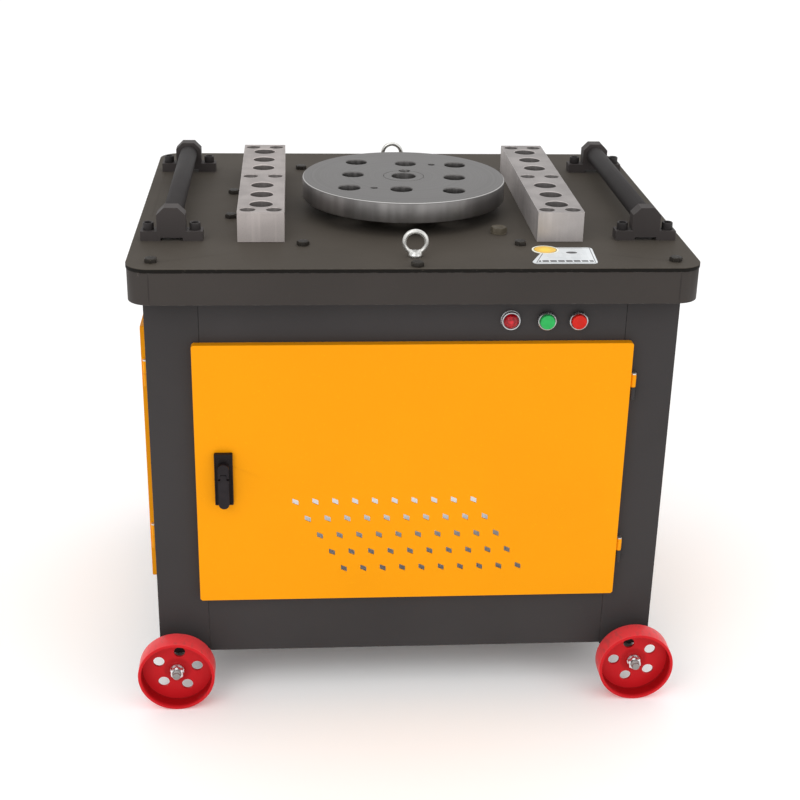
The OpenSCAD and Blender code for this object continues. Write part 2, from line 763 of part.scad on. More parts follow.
// Lever with its knuckle on the hub's pin and a rounded free end
module latch_lever() difference() {
    low = latch_pivot + lever_w / 2 - lever_len;
    bar_top = latch_pivot - pin_drop - knuckle_eye_r - 1;
    union() {
        translate([0, pin_y, latch_pivot - pin_drop]) rotate([0, 90, 0])
            cylinder(r = knuckle_eye_r, h = 2 * knuckle_half, center = true, $fn = 48);
        translate([-knuckle_half, pin_y - knuckle_eye_r, bar_top - 1])
            cube([2 * knuckle_half, 2 * knuckle_eye_r, latch_pivot - pin_drop - bar_top + 1]);
        translate([0, -latch_t - lever_lift, 0]) rotate([90, 0, 0]) linear_extrude(lever_t) {
            translate([0, low + lever_w / 2]) circle(d = lever_w, $fn = 64);
            translate([-lever_w / 2, low + lever_w / 2])
                square([lever_w, bar_top - low - lever_w / 2]);
        }
    }
    translate([0, pin_y, latch_pivot - pin_drop]) rotate([0, 90, 0])
        cylinder(d = lever_pin_d + 2 * run_gap, h = lever_w + 2, center = true, $fn = 32);
}

module front_latch_base() color([0.12, 0.12, 0.13]) to_front() at_latch(front_door_w) latch_base();
module front_latch_hub() color([0.14, 0.14, 0.15]) to_front() at_latch(front_door_w) latch_hub();
module front_latch_lever() color([0.14, 0.14, 0.15]) to_front() at_latch(front_door_w) latch_lever();
module side_latch_base() color([0.12, 0.12, 0.13]) to_left() at_latch(side_door_w) latch_base();
module side_latch_hub() color([0.14, 0.14, 0.15]) to_left() at_latch(side_door_w) latch_hub();
module side_latch_lever() color([0.14, 0.14, 0.15]) to_left() at_latch(side_door_w) latch_lever();

// ---------- controls ----------

control_hole_d = 22.5;
control_body_d = 22;
bezel_d = 30;
lamp_bezel_d = 32;
control_z = table_h - control_drop;

// Moves a control onto the front rail, its own +Z pointing out of the rail
module at_control(x) translate([x, front_y + seam + frame_t, control_z]) rotate([90, 0, 0]) children();

face_z = frame_t;                           // the rail's outer face, from the rail's inner face
pocket_z = face_z + 1;                      // floor of the pocket in a bezel
cap_z = pocket_z + button_travel + 1;       // underside of a button's cap
plunger_d = 6;

// Threaded sleeve with a nut and a terminal block behind the rail
module control_sleeve() {
    translate([0, 0, -30]) cylinder(d = control_body_d, h = 30 + face_z + 1, $fn = 64);
    translate([0, 0, -4]) cylinder(d = 30, h = 4, $fn = 8);
    translate([-14, -14, -52]) cube([28, 28, 22 + eps]);
}

module lamp_bezel() color([0.8, 0.8, 0.8]) at_control(lamp_x) difference() {
    union() {
        control_sleeve();
        translate([0, 0, face_z]) cylinder(d = lamp_bezel_d, h = 7, $fn = 96);
    }
    translate([0, 0, pocket_z]) cylinder(d = cap_d + 2 * bolt_gap, h = 10, $fn = 64);
}

module lamp_lens() color([0.8, 0.06, 0.1]) at_control(lamp_x) translate([0, 0, pocket_z]) {
    cylinder(d = cap_d, h = 8, $fn = 64);
    translate([0, 0, 8]) cylinder(d1 = cap_d, d2 = cap_d - 6, h = 3, $fn = 64);
}

module button_bodies() color([0.7, 0.7, 0.7]) for (x = [start_x, stop_x]) at_control(x) difference() {
    union() {
        control_sleeve();
        translate([0, 0, face_z]) cylinder(d = bezel_d, h = 10, $fn = 96);
    }
    translate([0, 0, pocket_z]) cylinder(d = cap_d + 2 * bolt_gap, h = 20, $fn = 64);
    translate([0, 0, -10]) cylinder(d = plunger_d + 2 * bolt_gap, h = 20, $fn = 32);
}

// Button cap on its plunger
module button_cap() {
    translate([0, 0, cap_z]) cylinder(d = cap_d, h = 8, $fn = 64);
    translate([0, 0, -4]) cylinder(d = plunger_d, h = cap_z + 5, $fn = 32);
}

module start_cap() color([0.1, 0.65, 0.3]) at_control(start_x) button_cap();
module stop_cap() color([0.85, 0.1, 0.05]) at_control(stop_x) button_cap();

// Control box on the inside of the right panel, with its lid and two contactors
box_wall = 2;
box_size = [180, 130, 230];
contactor = [44, 80, 75];
terminals = [120, 40, 30];
module control_box() color([0.75, 0.75, 0.72]) to_right()
    translate([0, -door_proud + door_t, box_mid_z]) {
        difference() {
            translate([-box_size[0] / 2, 0, -box_size[2] / 2]) cube(box_size);
            translate([box_wall - box_size[0] / 2, box_wall, box_wall - box_size[2] / 2])
                cube([box_size[0] - 2 * box_wall, box_size[1], box_size[2] - 2 * box_wall]);
            at_box_holes() cylinder(d = panel_screw_d + 2 * bolt_gap, h = 10, center = true, $fn = 32);
        }
        for (x = [-30, 30]) translate([x - contactor[0] / 2, box_wall, -10]) cube(contactor);
        translate([-terminals[0] / 2, box_wall, -60]) cube(terminals);
        translate([-box_size[0] / 2 - 2, box_size[1] + 0.2, -box_size[2] / 2 - 2])
            cube([box_size[0] + 4, 2, box_size[2] + 4]);
    }

module at_box_holes() {
    for (sx = [-1, 1], sz = [-1, 1])
        translate([sx * box_screw_at[0], box_wall / 2, sz * box_screw_at[1]]) rotate([90, 0, 0]) children();
}

// Cable gland through the rear base rail, with its nut inside
gland_hole_d = 20.5;
gland_x = 250;
gland_z = base_z + base_rail_h / 2;
module cable_gland() color([0.15, 0.15, 0.16])
    translate([gland_x, frame_d / 2 - seam, gland_z]) rotate([-90, 0, 0]) difference() {
        union() {
            translate([0, 0, -14]) cylinder(d = gland_hole_d - 0.5, h = 16, $fn = 64);
            translate([0, 0, -frame_t - 6]) cylinder(d = 30, h = 6, $fn = 6);
            cylinder(d = 30, h = 8, $fn = 6);
            translate([0, 0, 8]) cylinder(d1 = 26, d2 = 20, h = 12, $fn = 64);
        }
        translate([0, 0, -20]) cylinder(d = 11, h = 50, $fn = 48);
    }

// ---------- working disc and drive ----------

module at_main() translate([main_c[0], main_c[1], 0]) children();

// Holes of the disc's square pattern without its middle
module at_pin_holes() {
    for (i = [-1 : 1], j = [-1 : 1]) if (i != 0 || j != 0)
        translate([i * pin_pitch, j * pin_pitch, 0]) children();
}

// Round hole with a bevelled mouth at the top, cut from z = 0 down
module bevelled_hole(d, depth, bevel) {
    translate([0, 0, -depth - 1]) cylinder(d = d, h = depth + 2, $fn = 96);
    translate([0, 0, -bevel]) cylinder(d1 = d, d2 = d + 2 * bevel + 1, h = bevel + 0.5, $fn = 96);
}

module working_disc() color([0.55, 0.55, 0.56]) at_main() rotate([0, 0, disc_turn]) difference() {
    bevel = 2;
    translate([0, 0, disc_z]) rotate_extrude($fn = 128)
        polygon([[nose_d / 2 + seat_gap, 0], [disc_d / 2 - 1, 0], [disc_d / 2, 1],
                 [disc_d / 2, disc_t - bevel], [disc_d / 2 - bevel, disc_t],
                 [nose_d / 2 + 1.2, disc_t], [nose_d / 2 + seat_gap, disc_t - 1.2]]);
    translate([0, 0, disc_top]) {
        at_pin_holes() bevelled_hole(pin_hole_d, disc_t, 1.5);
        rotate([0, 0, 90]) translate([key_r, 0, 0]) bolt_hole(key_d, 25);
        for (a = [jack_a, jack_a + 180]) rotate([0, 0, a]) translate([jack_r, 0, 0])
            bevelled_hole(jack_d, disc_t, 0.8);
    }
}

// Round key let half into the disc and half into the shaft
module disc_key() color([0.4, 0.4, 0.4]) at_main() rotate([0, 0, disc_turn + 90])
    translate([key_r, 0, disc_top - 24]) cylinder(d = key_d, h = 20, $fn = 64);

module main_shaft() color([0.5, 0.5, 0.5]) at_main() rotate([0, 0, disc_turn]) difference() {
    neck_d = main_seat_d + 6;
    gear_d = main_seat_d - 2;
    flange = 110;
    rotate_extrude($fn = 128) polygon([[0, shaft_low], [main_low_d / 2, shaft_low],
        [main_low_d / 2, level_3 - 6], [gear_d / 2 + 8, level_3 - 6], [gear_d / 2 + 8, level_3],
        [gear_d / 2, level_3], [gear_d / 2, level_3 + width_3 + 1],
        [main_seat_d / 2, level_3 + width_3 + 1],
        [main_seat_d / 2, main_bearing_z + main_bearing_w],
        [neck_d / 2, main_bearing_z + main_bearing_w], [neck_d / 2, boss_top + 2],
        [flange / 2, boss_top + 2], [flange / 2, disc_z], [nose_d / 2, disc_z],
        [nose_d / 2, disc_top - 1.2], [nose_d / 2 - 1.2, disc_top], [0, disc_top]]);
    translate([0, 0, disc_top]) {
        bevelled_hole(centre_hole_d, centre_hole_depth - 1, 1);
        rotate([0, 0, 90]) translate([key_r, 0, 0]) bolt_hole(key_d, 25);
    }
}

module main_gear() color([0.45, 0.45, 0.47]) at_main() translate([0, 0, level_3])
    gear_wheel(module_3, teeth_main, -pinion_shift, width_3, dir_3, main_seat_d - 2, 130);

// Stepped shaft between the gearbox's floor and cover
module gearbox_shaft(seat_d, body_d) {
    translate([0, 0, shaft_low]) cylinder(d = seat_d, h = shaft_top - shaft_low, $fn = 64);
    translate([0, 0, low_bearing_z + bearing_w + 1])
        cylinder(d = body_d, h = high_bearing_z - low_bearing_z - bearing_w - 2, $fn = 64);
}

module second_shaft() color([0.5, 0.5, 0.5]) translate([second_c[0], second_c[1], 0]) {
    gearbox_shaft(second_seat_d, second_seat_d + 6);
    translate([0, 0, level_3 - 2]) gear(module_3, teeth_pinion_3, pinion_shift, width_3 + 3,
        dir_3 + 180 + 180 / teeth_pinion_3);
}

module second_gear() color([0.45, 0.45, 0.47]) translate([second_c[0], second_c[1], level_2])
    gear_wheel(module_2, teeth_second, -pinion_shift, width_2, dir_2, second_seat_d + 6, 80);

module first_shaft() color([0.5, 0.5, 0.5]) translate([first_c[0], first_c[1], 0]) {
    gearbox_shaft(first_seat_d, first_seat_d + 4);
    translate([0, 0, level_2 - 2]) gear(module_2, teeth_pinion_2, pinion_shift, width_2 + 4,
        dir_2 + 180 + 180 / teeth_pinion_2);
}

module first_gear() color([0.45, 0.45, 0.47]) translate([first_c[0], first_c[1], level_1])
    gear_wheel(module_1, teeth_first, -pinion_shift, width_1, dir_1, first_seat_d + 4, 60);

module at_motor() translate([motor_c[0], motor_c[1], 0]) children();

module motor_rotor() color([0.5, 0.5, 0.52]) at_motor() {
    translate([0, 0, motor_z - 34]) cylinder(d = motor_shaft_d, h = level_1 - 2 - motor_z + 34, $fn = 64);
    translate([0, 0, stator_z - 3]) cylinder(d = rotor_d, h = stator_l + 6, $fn = 96);
    translate([0, 0, level_1 - 2 - eps]) gear(module_1, teeth_motor, pinion_shift, width_1 + 3,
        dir_1 + 180 + 180 / teeth_motor);
}

// Plastic fan on the rotor's lower end
module motor_fan() color([0.2, 0.2, 0.22]) at_motor() translate([0, 0, motor_z - 32]) {
    ring(60, motor_shaft_d + 2 * seat_gap, 26);
    for (a = [0 : 60 : 300]) rotate([0, 0, a]) translate([29, -2, 2]) cube([48, 4, 20]);
}

// Laminated stator core
module motor_stator() color([0.35, 0.3, 0.25]) at_motor() translate([0, 0, stator_z])
    ring(motor_bore_d - 2 * seat_gap, rotor_d + 2, stator_l);

module motor_housing() color([0.3, 0.34, 0.36]) at_motor() difference() {
    union() {
        translate([0, 0, motor_z]) cylinder(d = motor_d - 2 * fin_h, h = motor_l, $fn = 96);
        translate([0, 0, flange_z - eps]) cylinder(d = flange_d, h = flange_t + eps, $fn = 96);
        for (a = [0 : 15 : 345]) if (a < 150 || a > 210) rotate([0, 0, a])
            translate([motor_d / 2 - fin_h - 3, -1.5, motor_z + 20]) cube([fin_h + 3, 3, motor_l - 40]);
    }
    translate([0, 0, motor_z + 25]) cylinder(d = motor_bore_d, h = motor_l - 35, $fn = 96);
    translate([0, 0, motor_z - 1]) cylinder(d = motor_shaft_d + 6, h = motor_l + flange_t + 2, $fn = 64);
    for (z = motor_bearing_zs) translate([0, 0, z - 1]) cylinder(d = motor_bearing_d, h = 18, $fn = 96);
}

// Sheet cap over the fan, with slots for the air
module fan_cover() color([0.3, 0.34, 0.36]) at_motor() difference() {
    out_d = motor_d - 2 * fin_h + 2 * cover_sheet + 1;
    translate([0, 0, motor_z - fan_room]) cylinder(d = out_d, h = fan_room + 12, $fn = 96);
    translate([0, 0, motor_z - fan_room + cover_sheet])
        cylinder(d = out_d - 2 * cover_sheet, h = fan_room + 12, $fn = 96);
    for (a = [0 : 30 : 330]) rotate([0, 0, a])
        translate([30, -3, motor_z - fan_room - 1]) cube([45, 6, cover_sheet + 2]);
}

module terminal_box() color([0.3, 0.34, 0.36]) at_motor()
    translate([-motor_d / 2 - 46, -45, motor_z + motor_l / 2 - 40]) {
        difference() {
            cube([46 + fin_h + 1, 90, 100]);
            translate([-1, 3, 3]) cube([45, 84, 94]);
            translate([motor_d / 2 + 46, 45, -1])
                cylinder(d = motor_d - 2 * fin_h + 0.2, h = 120, $fn = 96);
        }
        translate([-2.2, -1, -1]) cube([2, 92, 102]);
    }

// ---------- gearbox ----------

module at_shafts() {
    translate([second_c[0], second_c[1], 0]) children(0);
    translate([first_c[0], first_c[1], 0]) children(1);
}

module gearbox_housing() color([0.27, 0.3, 0.3]) difference() {
    inner_w = gearbox_w - 2 * gearbox_wall;
    inner_l = gearbox_l - 2 * gearbox_wall;
    union() {
        difference() {
            translate([0, 0, housing_z]) linear_extrude(housing_h) round_rect(gearbox_w, gearbox_l, 20);
            translate([0, 0, housing_z + floor_t]) linear_extrude(housing_h)
                round_rect(inner_w, inner_l, 12);
        }
        intersection() {
            translate([0, 0, housing_z + 1]) linear_extrude(housing_h - 1)
                round_rect(gearbox_w - 2, gearbox_l - 2, 20);
            at_gearbox_bolts() translate([0, 0, housing_z + 1])
                cylinder(d = bolt_pillar_d, h = housing_h - 1, $fn = 64);
        }
        translate([0, 0, low_bearing_z]) {
            at_main() cylinder(d = main_low_bearing_d + 16, h = seat_rise, $fn = 96);
            at_shafts() {
                cylinder(d = second_bearing_d + 14, h = seat_rise, $fn = 96);
                cylinder(d = first_bearing_d + 14, h = seat_rise, $fn = 96);
            }
        }
    }
    translate([0, 0, low_bearing_z]) {
        at_main() cylinder(d = main_low_bearing_d, h = 40, $fn = 96);
        at_shafts() {
            cylinder(d = second_bearing_d, h = 40, $fn = 96);
            cylinder(d = first_bearing_d, h = 40, $fn = 96);
        }
    }
    at_motor() translate([0, 0, housing_z - 1]) cylinder(d = 60, h = floor_t + 2, $fn = 64);
    translate([0, 0, cover_z]) at_gearbox_bolts() bolt_hole(m10[2], bolt_pillar_d);
}

module gearbox_cover() color([0.27, 0.3, 0.3]) difference() {
    boss_low = cover_z - cover_seat_drop;
    union() {
        translate([0, 0, cover_z]) linear_extrude(cover_t) round_rect(gearbox_w, gearbox_l, 20);
        at_main() translate([0, 0, boss_low]) cylinder(d = boss_d, h = boss_top - boss_low, $fn = 128);
        translate([0, 0, boss_low]) at_shafts() {
            cylinder(d = second_bearing_d + 14, h = cover_seat_drop + eps, $fn = 96);
            cylinder(d = first_bearing_d + 14, h = cover_seat_drop + eps, $fn = 96);
        }
    }
    at_main() translate([0, 0, boss_low - 1])
        cylinder(d = main_bearing_d, h = main_bearing_z + main_bearing_w - boss_low + 1, $fn = 96);
    at_main() translate([0, 0, boss_low]) cylinder(d = main_seat_d + 12, h = boss_top, $fn = 96);
    translate([0, 0, boss_low - 1]) at_shafts() {
        cylinder(d = second_bearing_d, h = high_bearing_z + bearing_w + 2 - boss_low + 1, $fn = 96);
        cylinder(d = first_bearing_d, h = high_bearing_z + bearing_w + 2 - boss_low + 1, $fn = 96);
    }
    translate([0, 0, plate_z]) {
        at_gearbox_bolts() bolt_hole(m10[2], cover_t);
        translate([oil_plug_at[0], oil_plug_at[1], 0]) bolt_hole(16, cover_t);
    }
}

// One ball bearing's ring, seated in its housing and running on its shaft
module bearing(outer_d, shaft_d, w) ring(outer_d - 2 * seat_gap, shaft_d + 2 * run_gap, w);

module shaft_bearings() color([0.65, 0.65, 0.67]) {
    at_main() translate([0, 0, main_bearing_z]) bearing(main_bearing_d, main_seat_d, main_bearing_w - 0.1);
    at_main() translate([0, 0, low_bearing_z]) bearing(main_low_bearing_d, main_low_d, bearing_w);
    for (z = [low_bearing_z, high_bearing_z]) translate([0, 0, z]) at_shafts() {
        bearing(second_bearing_d, second_seat_d, bearing_w);
        bearing(first_bearing_d, first_seat_d, bearing_w);
    }
    for (z = motor_bearing_zs) at_motor() translate([0, 0, z])
        bearing(motor_bearing_d, motor_shaft_d, bearing_w);
}

// Screw plug of the gearbox's oil filler, through the table
module oil_plug() color([0.3, 0.29, 0.25]) translate([oil_plug_at[0], oil_plug_at[1], table_h]) {
    cylinder(d = 27, h = 2, $fn = 48);
    translate([0, 0, 2 - eps]) cylinder(d = 24 / cos(30), h = 9, $fn = 6);
    translate([0, 0, -plate_t - cover_t - 6]) cylinder(d = 16, h = plate_t + cover_t + 6 + eps, $fn = 48);
}

// ---------- work holders on the table ----------

// Milled steel bar with six pin holes and six counterbored screw holes
module block(side) difference() {
    translate([side * block_x - block_w / 2, -block_l / 2, table_h]) cube([block_w, block_l, block_h]);
    for (i = [-3 : 3]) if (i != 0) translate([side * block_x, i * block_pitch, table_h + block_h])
        bevelled_hole(block_hole_d, block_h, 1.5);
    at_block_screws(side) {
        translate([0, 0, table_h - 1]) cylinder(d = socket_16[2] + 2 * bolt_gap, h = block_h + 2, $fn = 64);
        translate([0, 0, table_h + block_h - block_sink]) cylinder(d = 26, h = block_sink + 1, $fn = 64);
    }
}
module left_block() color([0.68, 0.66, 0.65]) block(-1);
module right_block() color([0.68, 0.66, 0.65]) block(1);

// Socket screws sunk in the blocks, with nuts under the table
module block_screws() color([0.2, 0.2, 0.2]) for (side = [-1, 1]) at_block_screws(side) {
    translate([0, 0, table_h + block_h - block_sink])
        socket_screw(socket_16, block_h - block_sink + plate_t + 18);
    translate([0, 0, plate_z]) hex_nut([24, 16, 16]);
}

// Milled pillow brackets, bored for the roller's journals
module roller_brackets() color([0.22, 0.22, 0.23])
    for (side = [-1, 1], y = bracket_ys) translate([side * roller_x, y, table_h]) difference() {
        slot_w = 36;
        slot_h = 5.5;
        flat_w = 22;
        chamfer = (bracket_body_w - flat_w) / 2;
        translate([0, bracket_d / 2, 0]) rotate([90, 0, 0]) linear_extrude(bracket_d)
            polygon([[-bracket_w / 2, 0], [-slot_w / 2, 0], [-slot_w / 2, slot_h],
                     [slot_w / 2, slot_h], [slot_w / 2, 0], [bracket_w / 2, 0],
                     [bracket_w / 2, foot_h], [bracket_body_w / 2, foot_h],
                     [bracket_body_w / 2, bracket_h - chamfer], [flat_w / 2, bracket_h],
                     [-flat_w / 2, bracket_h], [-bracket_body_w / 2, bracket_h - chamfer],
                     [-bracket_body_w / 2, foot_h], [-bracket_w / 2, foot_h]]);
        translate([0, y < 0 ? 6 - bracket_d / 2 : -bracket_d / 2 - 1, roller_z]) rotate([-90, 0, 0])
            cylinder(d = journal_d + 2 * run_gap, h = bracket_d - 5, $fn = 64);
        for (s = [-1, 1]) translate([s * bracket_bolt_x, 0, foot_h]) bolt_hole(socket_12[2], foot_h);
    }

module bracket_screws() color([0.16, 0.16, 0.17]) at_bracket_screws()
    translate([0, 0, table_h + foot_h]) socket_screw(socket_12, foot_h + plate_t);

// Round bar roller, turned down at both ends
module roller(side) {
    face_front = -bracket_front + bracket_d / 2;
    face_rear = bracket_rear - bracket_d / 2;
    end = bracket_d - 8;
    translate([side * roller_x, 0, table_h + roller_z]) rotate([-90, 0, 0]) {
        translate([0, 0, face_front + face_gap])
            cylinder(d = roller_d, h = face_rear - face_front - 2 * face_gap, $fn = 96);
        translate([0, 0, face_front - end])
            cylinder(d = journal_d, h = face_rear - face_front + 2 * end, $fn = 64);
    }
}
module left_roller() color([0.24, 0.24, 0.25]) roller(-1);
module right_roller() color([0.24, 0.24, 0.25]) roller(1);

// Forged lifting eyes: ring, collar and threaded stem with a nut below
module lifting_eyes() color([0.85, 0.85, 0.84]) for (y = eye_ys) translate([0, y, table_h]) {
    ring_r = (eye_hole_d + eye_wire_d) / 2;
    collar_h = 7;
    centre_z = collar_h + eye_hole_d / 2 + 2;
    translate([0, 0, centre_z]) rotate([90, 0, 0]) rotate_extrude($fn = 96)
        translate([ring_r, 0]) circle(d = eye_wire_d, $fn = 32);
    cylinder(d = 22, h = collar_h - 1, $fn = 64);
    difference() {
        translate([0, 0, collar_h - 1 - eps]) cylinder(d1 = 20, d2 = 12, h = 4, $fn = 64);
        translate([0, 6, centre_z]) rotate([90, 0, 0]) cylinder(d = eye_hole_d + 1, h = 12, $fn = 96);
    }
    nut_z = -plate_t - (y < 0 ? frame_t : 0);
    translate([0, 0, -plate_t - 14]) cylinder(d = m10[2], h = plate_t + 14 + eps, $fn = 48);
    translate([0, 0, nut_z]) hex_nut(m10);
}

// Hexagon bolts through the table: skirt lugs, gearbox and rail brackets
module table_bolts() color([0.16, 0.15, 0.14]) translate([0, 0, table_h]) {
    for (p = skirt_bolts) translate([p[0], p[1], 0]) hex_bolt([m10[0], m10[1], m10[2] - 1], plate_t + 8);
    for (p = rail_bolts) translate([p[0], p[1], 0]) hex_bolt(m10, plate_t + 10);
    at_gearbox_bolts() hex_bolt(m10, plate_t + cover_t + 25);
}

// Thin printed plate on the table with slanting ends and a round seal at its back left corner
module data_plate() color([0.9, 0.9, 0.88]) translate([0, 0, table_h]) linear_extrude(0.8) {
    hull() for (p = plate_corners) translate(p) circle(d = plate_round, $fn = 32);
    translate(seal_at) circle(d = seal_d, $fn = 96);
}

// ---------- wheels ----------

axle_z = wheel_d / 2;
hub_in = wheel_face - web_depth - wheel_t - 10;   // the hub's inner end
hub_out = wheel_face - web_depth + 2;             // the hub's outer end
thread_d = 14;
thread_out = 22;                                  // the threads' reach beyond the hubs

// Pressed steel wheel with a dished web; +Z is its outer side, z = 0 its outer face
module wheel(turn) rotate([0, 0, turn]) difference() {
    hub_d = 34;
    r = wheel_d / 2;
    rotate_extrude($fn = 128) polygon([[axle_journal_d / 2 + run_gap, hub_in - wheel_face],
        [hub_d / 2, hub_in - wheel_face], [hub_d / 2, -web_depth - wheel_t],
        [r - wheel_t, -web_depth - wheel_t], [r - wheel_t, -wheel_w], [r - 1.5, -wheel_w],
        [r, -wheel_w + 1.5], [r, -1.5], [r - 1.5, 0], [r - wheel_t, 0], [r - wheel_t, -web_depth],
        [hub_d / 2 - 2, -web_depth], [hub_d / 2 - 4, hub_out - wheel_face],
        [axle_journal_d / 2 + run_gap, hub_out - wheel_face]]);
    for (i = [0 : 4]) rotate([0, 0, i * 72]) translate([wheel_hole_pcd / 2, 0, -wheel_w])
        cylinder(d = wheel_hole_d, h = wheel_w + 1, $fn = 64);
}

// Puts its children at a wheel, with +Z outwards
module at_wheel(sx, sy, out) translate([sx * axle_x, sy * out, axle_z]) rotate([-sy * 90, 0, 0]) children();

module wheel_front_left() color([0.82, 0.1, 0.12]) at_wheel(-1, -1, wheel_face) wheel(-62);
module wheel_front_right() color([0.82, 0.1, 0.12]) at_wheel(1, -1, wheel_face) wheel(-109);
module wheel_rear_left() color([0.82, 0.1, 0.12]) at_wheel(-1, 1, wheel_face) wheel(20);
module wheel_rear_right() color([0.82, 0.1, 0.12]) at_wheel(1, 1, wheel_face) wheel(51);

// Steel bars under the frame, turned down at their ends for the wheels
module axles() color([0.35, 0.35, 0.36]) both_sides(axle_x) translate([0, 0, axle_z]) rotate([90, 0, 0]) {
    cylinder(d = axle_d, h = 2 * hub_in - 2 * face_gap, center = true, $fn = 64);
    cylinder(d = axle_journal_d, h = 2 * hub_out + 2 * face_gap, center = true, $fn = 64);
    cylinder(d = thread_d, h = 2 * (hub_out + thread_out), center = true, $fn = 48);
}

// Blocks welded under the side rails that hold the axle bars
module axle_saddles() color([0.25, 0.24, 0.24])
    for (sx = [-1, 1], sy = [-1, 1]) translate([sx * axle_x, sy * frame_d * 0.3, 0]) difference() {
        translate([-18, -15, axle_z - 15]) cube([36, 30, base_z - axle_z + 15]);
        translate([0, 0, axle_z]) rotate([90, 0, 0])
            cylinder(d = axle_d + 2 * seat_gap, h = 40, center = true, $fn = 64);
    }

// Washers and nuts that keep the wheels on
module wheel_nuts() color([0.8, 0.8, 0.82]) for (sx = [-1, 1], sy = [-1, 1])
    at_wheel(sx, sy, hub_out + face_gap) {
        ring(24, thread_d + 2 * bolt_gap, 2.4);
        translate([0, 0, 2.5]) difference() {
            intersection() {
                cylinder(d = 21 / cos(30), h = 10, $fn = 6);
                cylinder(d1 = 32, d2 = 20.5, h = 10, $fn = 64);
            }
            translate([0, 0, -1]) cylinder(d = thread_d + 2 * seat_gap, h = 12, $fn = 48);
        }
    }

table_plate();
skirt();
corner_posts();
front_rail();
frame_rails();
front_door();
side_door();
right_panel();
rear_panel();
panel_screws();
hinge_knuckles();
hinge_pins();
front_latch_base();
front_latch_hub();
front_latch_lever();
side_latch_base();
side_latch_hub();
side_latch_lever();
lamp_bezel();
lamp_lens();
button_bodies();
start_cap();
stop_cap();
working_disc();
disc_key();
main_shaft();
main_gear();
second_shaft();
second_gear();
first_shaft();
first_gear();
motor_rotor();
motor_fan();
motor_stator();
motor_housing();
fan_cover();
terminal_box();
gearbox_housing();
gearbox_cover();
shaft_bearings();
left_block();
right_block();
block_screws();
roller_brackets();
bracket_screws();
left_roller();
right_roller();
lifting_eyes();
table_bolts();
oil_plug();
data_plate();
wheel_front_left();
wheel_front_right();
wheel_rear_left();
wheel_rear_right();
axles();
axle_saddles();
wheel_nuts();
control_box();
cable_gland();
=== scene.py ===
import math

import bmesh
import bpy
from mathutils import Matrix, Vector


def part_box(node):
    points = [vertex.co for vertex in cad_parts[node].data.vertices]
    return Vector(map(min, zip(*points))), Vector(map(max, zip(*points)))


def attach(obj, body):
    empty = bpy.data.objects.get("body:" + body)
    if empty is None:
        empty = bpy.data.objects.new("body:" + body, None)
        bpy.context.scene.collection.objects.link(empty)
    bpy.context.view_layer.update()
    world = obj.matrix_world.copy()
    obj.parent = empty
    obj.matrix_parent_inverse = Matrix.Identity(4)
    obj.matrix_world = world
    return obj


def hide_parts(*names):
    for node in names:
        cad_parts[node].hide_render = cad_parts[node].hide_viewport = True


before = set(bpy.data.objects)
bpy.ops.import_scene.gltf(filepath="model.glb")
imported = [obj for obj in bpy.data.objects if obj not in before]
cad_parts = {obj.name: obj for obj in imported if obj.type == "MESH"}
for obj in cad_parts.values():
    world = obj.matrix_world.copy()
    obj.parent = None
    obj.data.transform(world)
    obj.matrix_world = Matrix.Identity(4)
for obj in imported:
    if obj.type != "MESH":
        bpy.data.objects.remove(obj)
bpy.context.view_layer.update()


# ---- The place where the machine stands: a pale studio floor under soft lights, seen from the
# front and a little above. The camera stands 2.2 m in front of the cabinet and leans down.
def stand_camera(place, yaw, pitch, roll, lens):
    forward = Vector((math.sin(yaw) * math.cos(pitch), math.cos(yaw) * math.cos(pitch), math.sin(pitch)))
    level = Vector((math.cos(yaw), -math.sin(yaw), 0))
    above = level.cross(forward)
    right = math.cos(roll) * level + math.sin(roll) * above
    up = math.cos(roll) * above - math.sin(roll) * level
    data = bpy.data.cameras.new("camera")
    data.lens = lens
    data.sensor_width = 36
    camera = bpy.data.objects.new("camera", data)
    bpy.context.scene.collection.objects.link(camera)
    camera.matrix_world = Matrix.Translation(place) @ Matrix((right, up, -forward)).transposed().to_4x4()
    bpy.context.scene.camera = camera


stand_camera(Vector((-0.18843, -2.50725, 1.48498)), math.radians(4.40), math.radians(-23.15),
             math.radians(1.22), 65.75)


def softbox(name, place, target, size, power):
    data = bpy.data.lights.new(name, "AREA")
    data.shape = "RECTANGLE"
    data.size = size[0]
    data.size_y = size[1]
    data.energy = power
    light = bpy.data.objects.new(name, data)
    bpy.context.scene.collection.objects.link(light)
    light.location = place
    light.rotation_euler = (Vector(target) - Vector(place)).to_track_quat("-Z", "Y").to_euler()


softbox("key_light", (-1.6, -2.6, 2.6), (0, 0, 0.5), (1.8, 1.8), 24)
softbox("fill_light", (2.4, -2.2, 1.6), (0, 0, 0.5), (1.6, 2.0), 9)
softbox("top_light", (0.2, 0.3, 2.9), (0, 0, 0.7), (2.2, 1.6), 8)

sky = bpy.data.worlds.new("studio")
sky.use_nodes = True
sky.node_tree.nodes["Background"].inputs["Color"].default_value = (1, 1, 1, 1)
sky.node_tree.nodes["Background"].inputs["Strength"].default_value = 1.0
bpy.context.scene.world = sky
bpy.context.scene.view_settings.view_transform = "Standard"


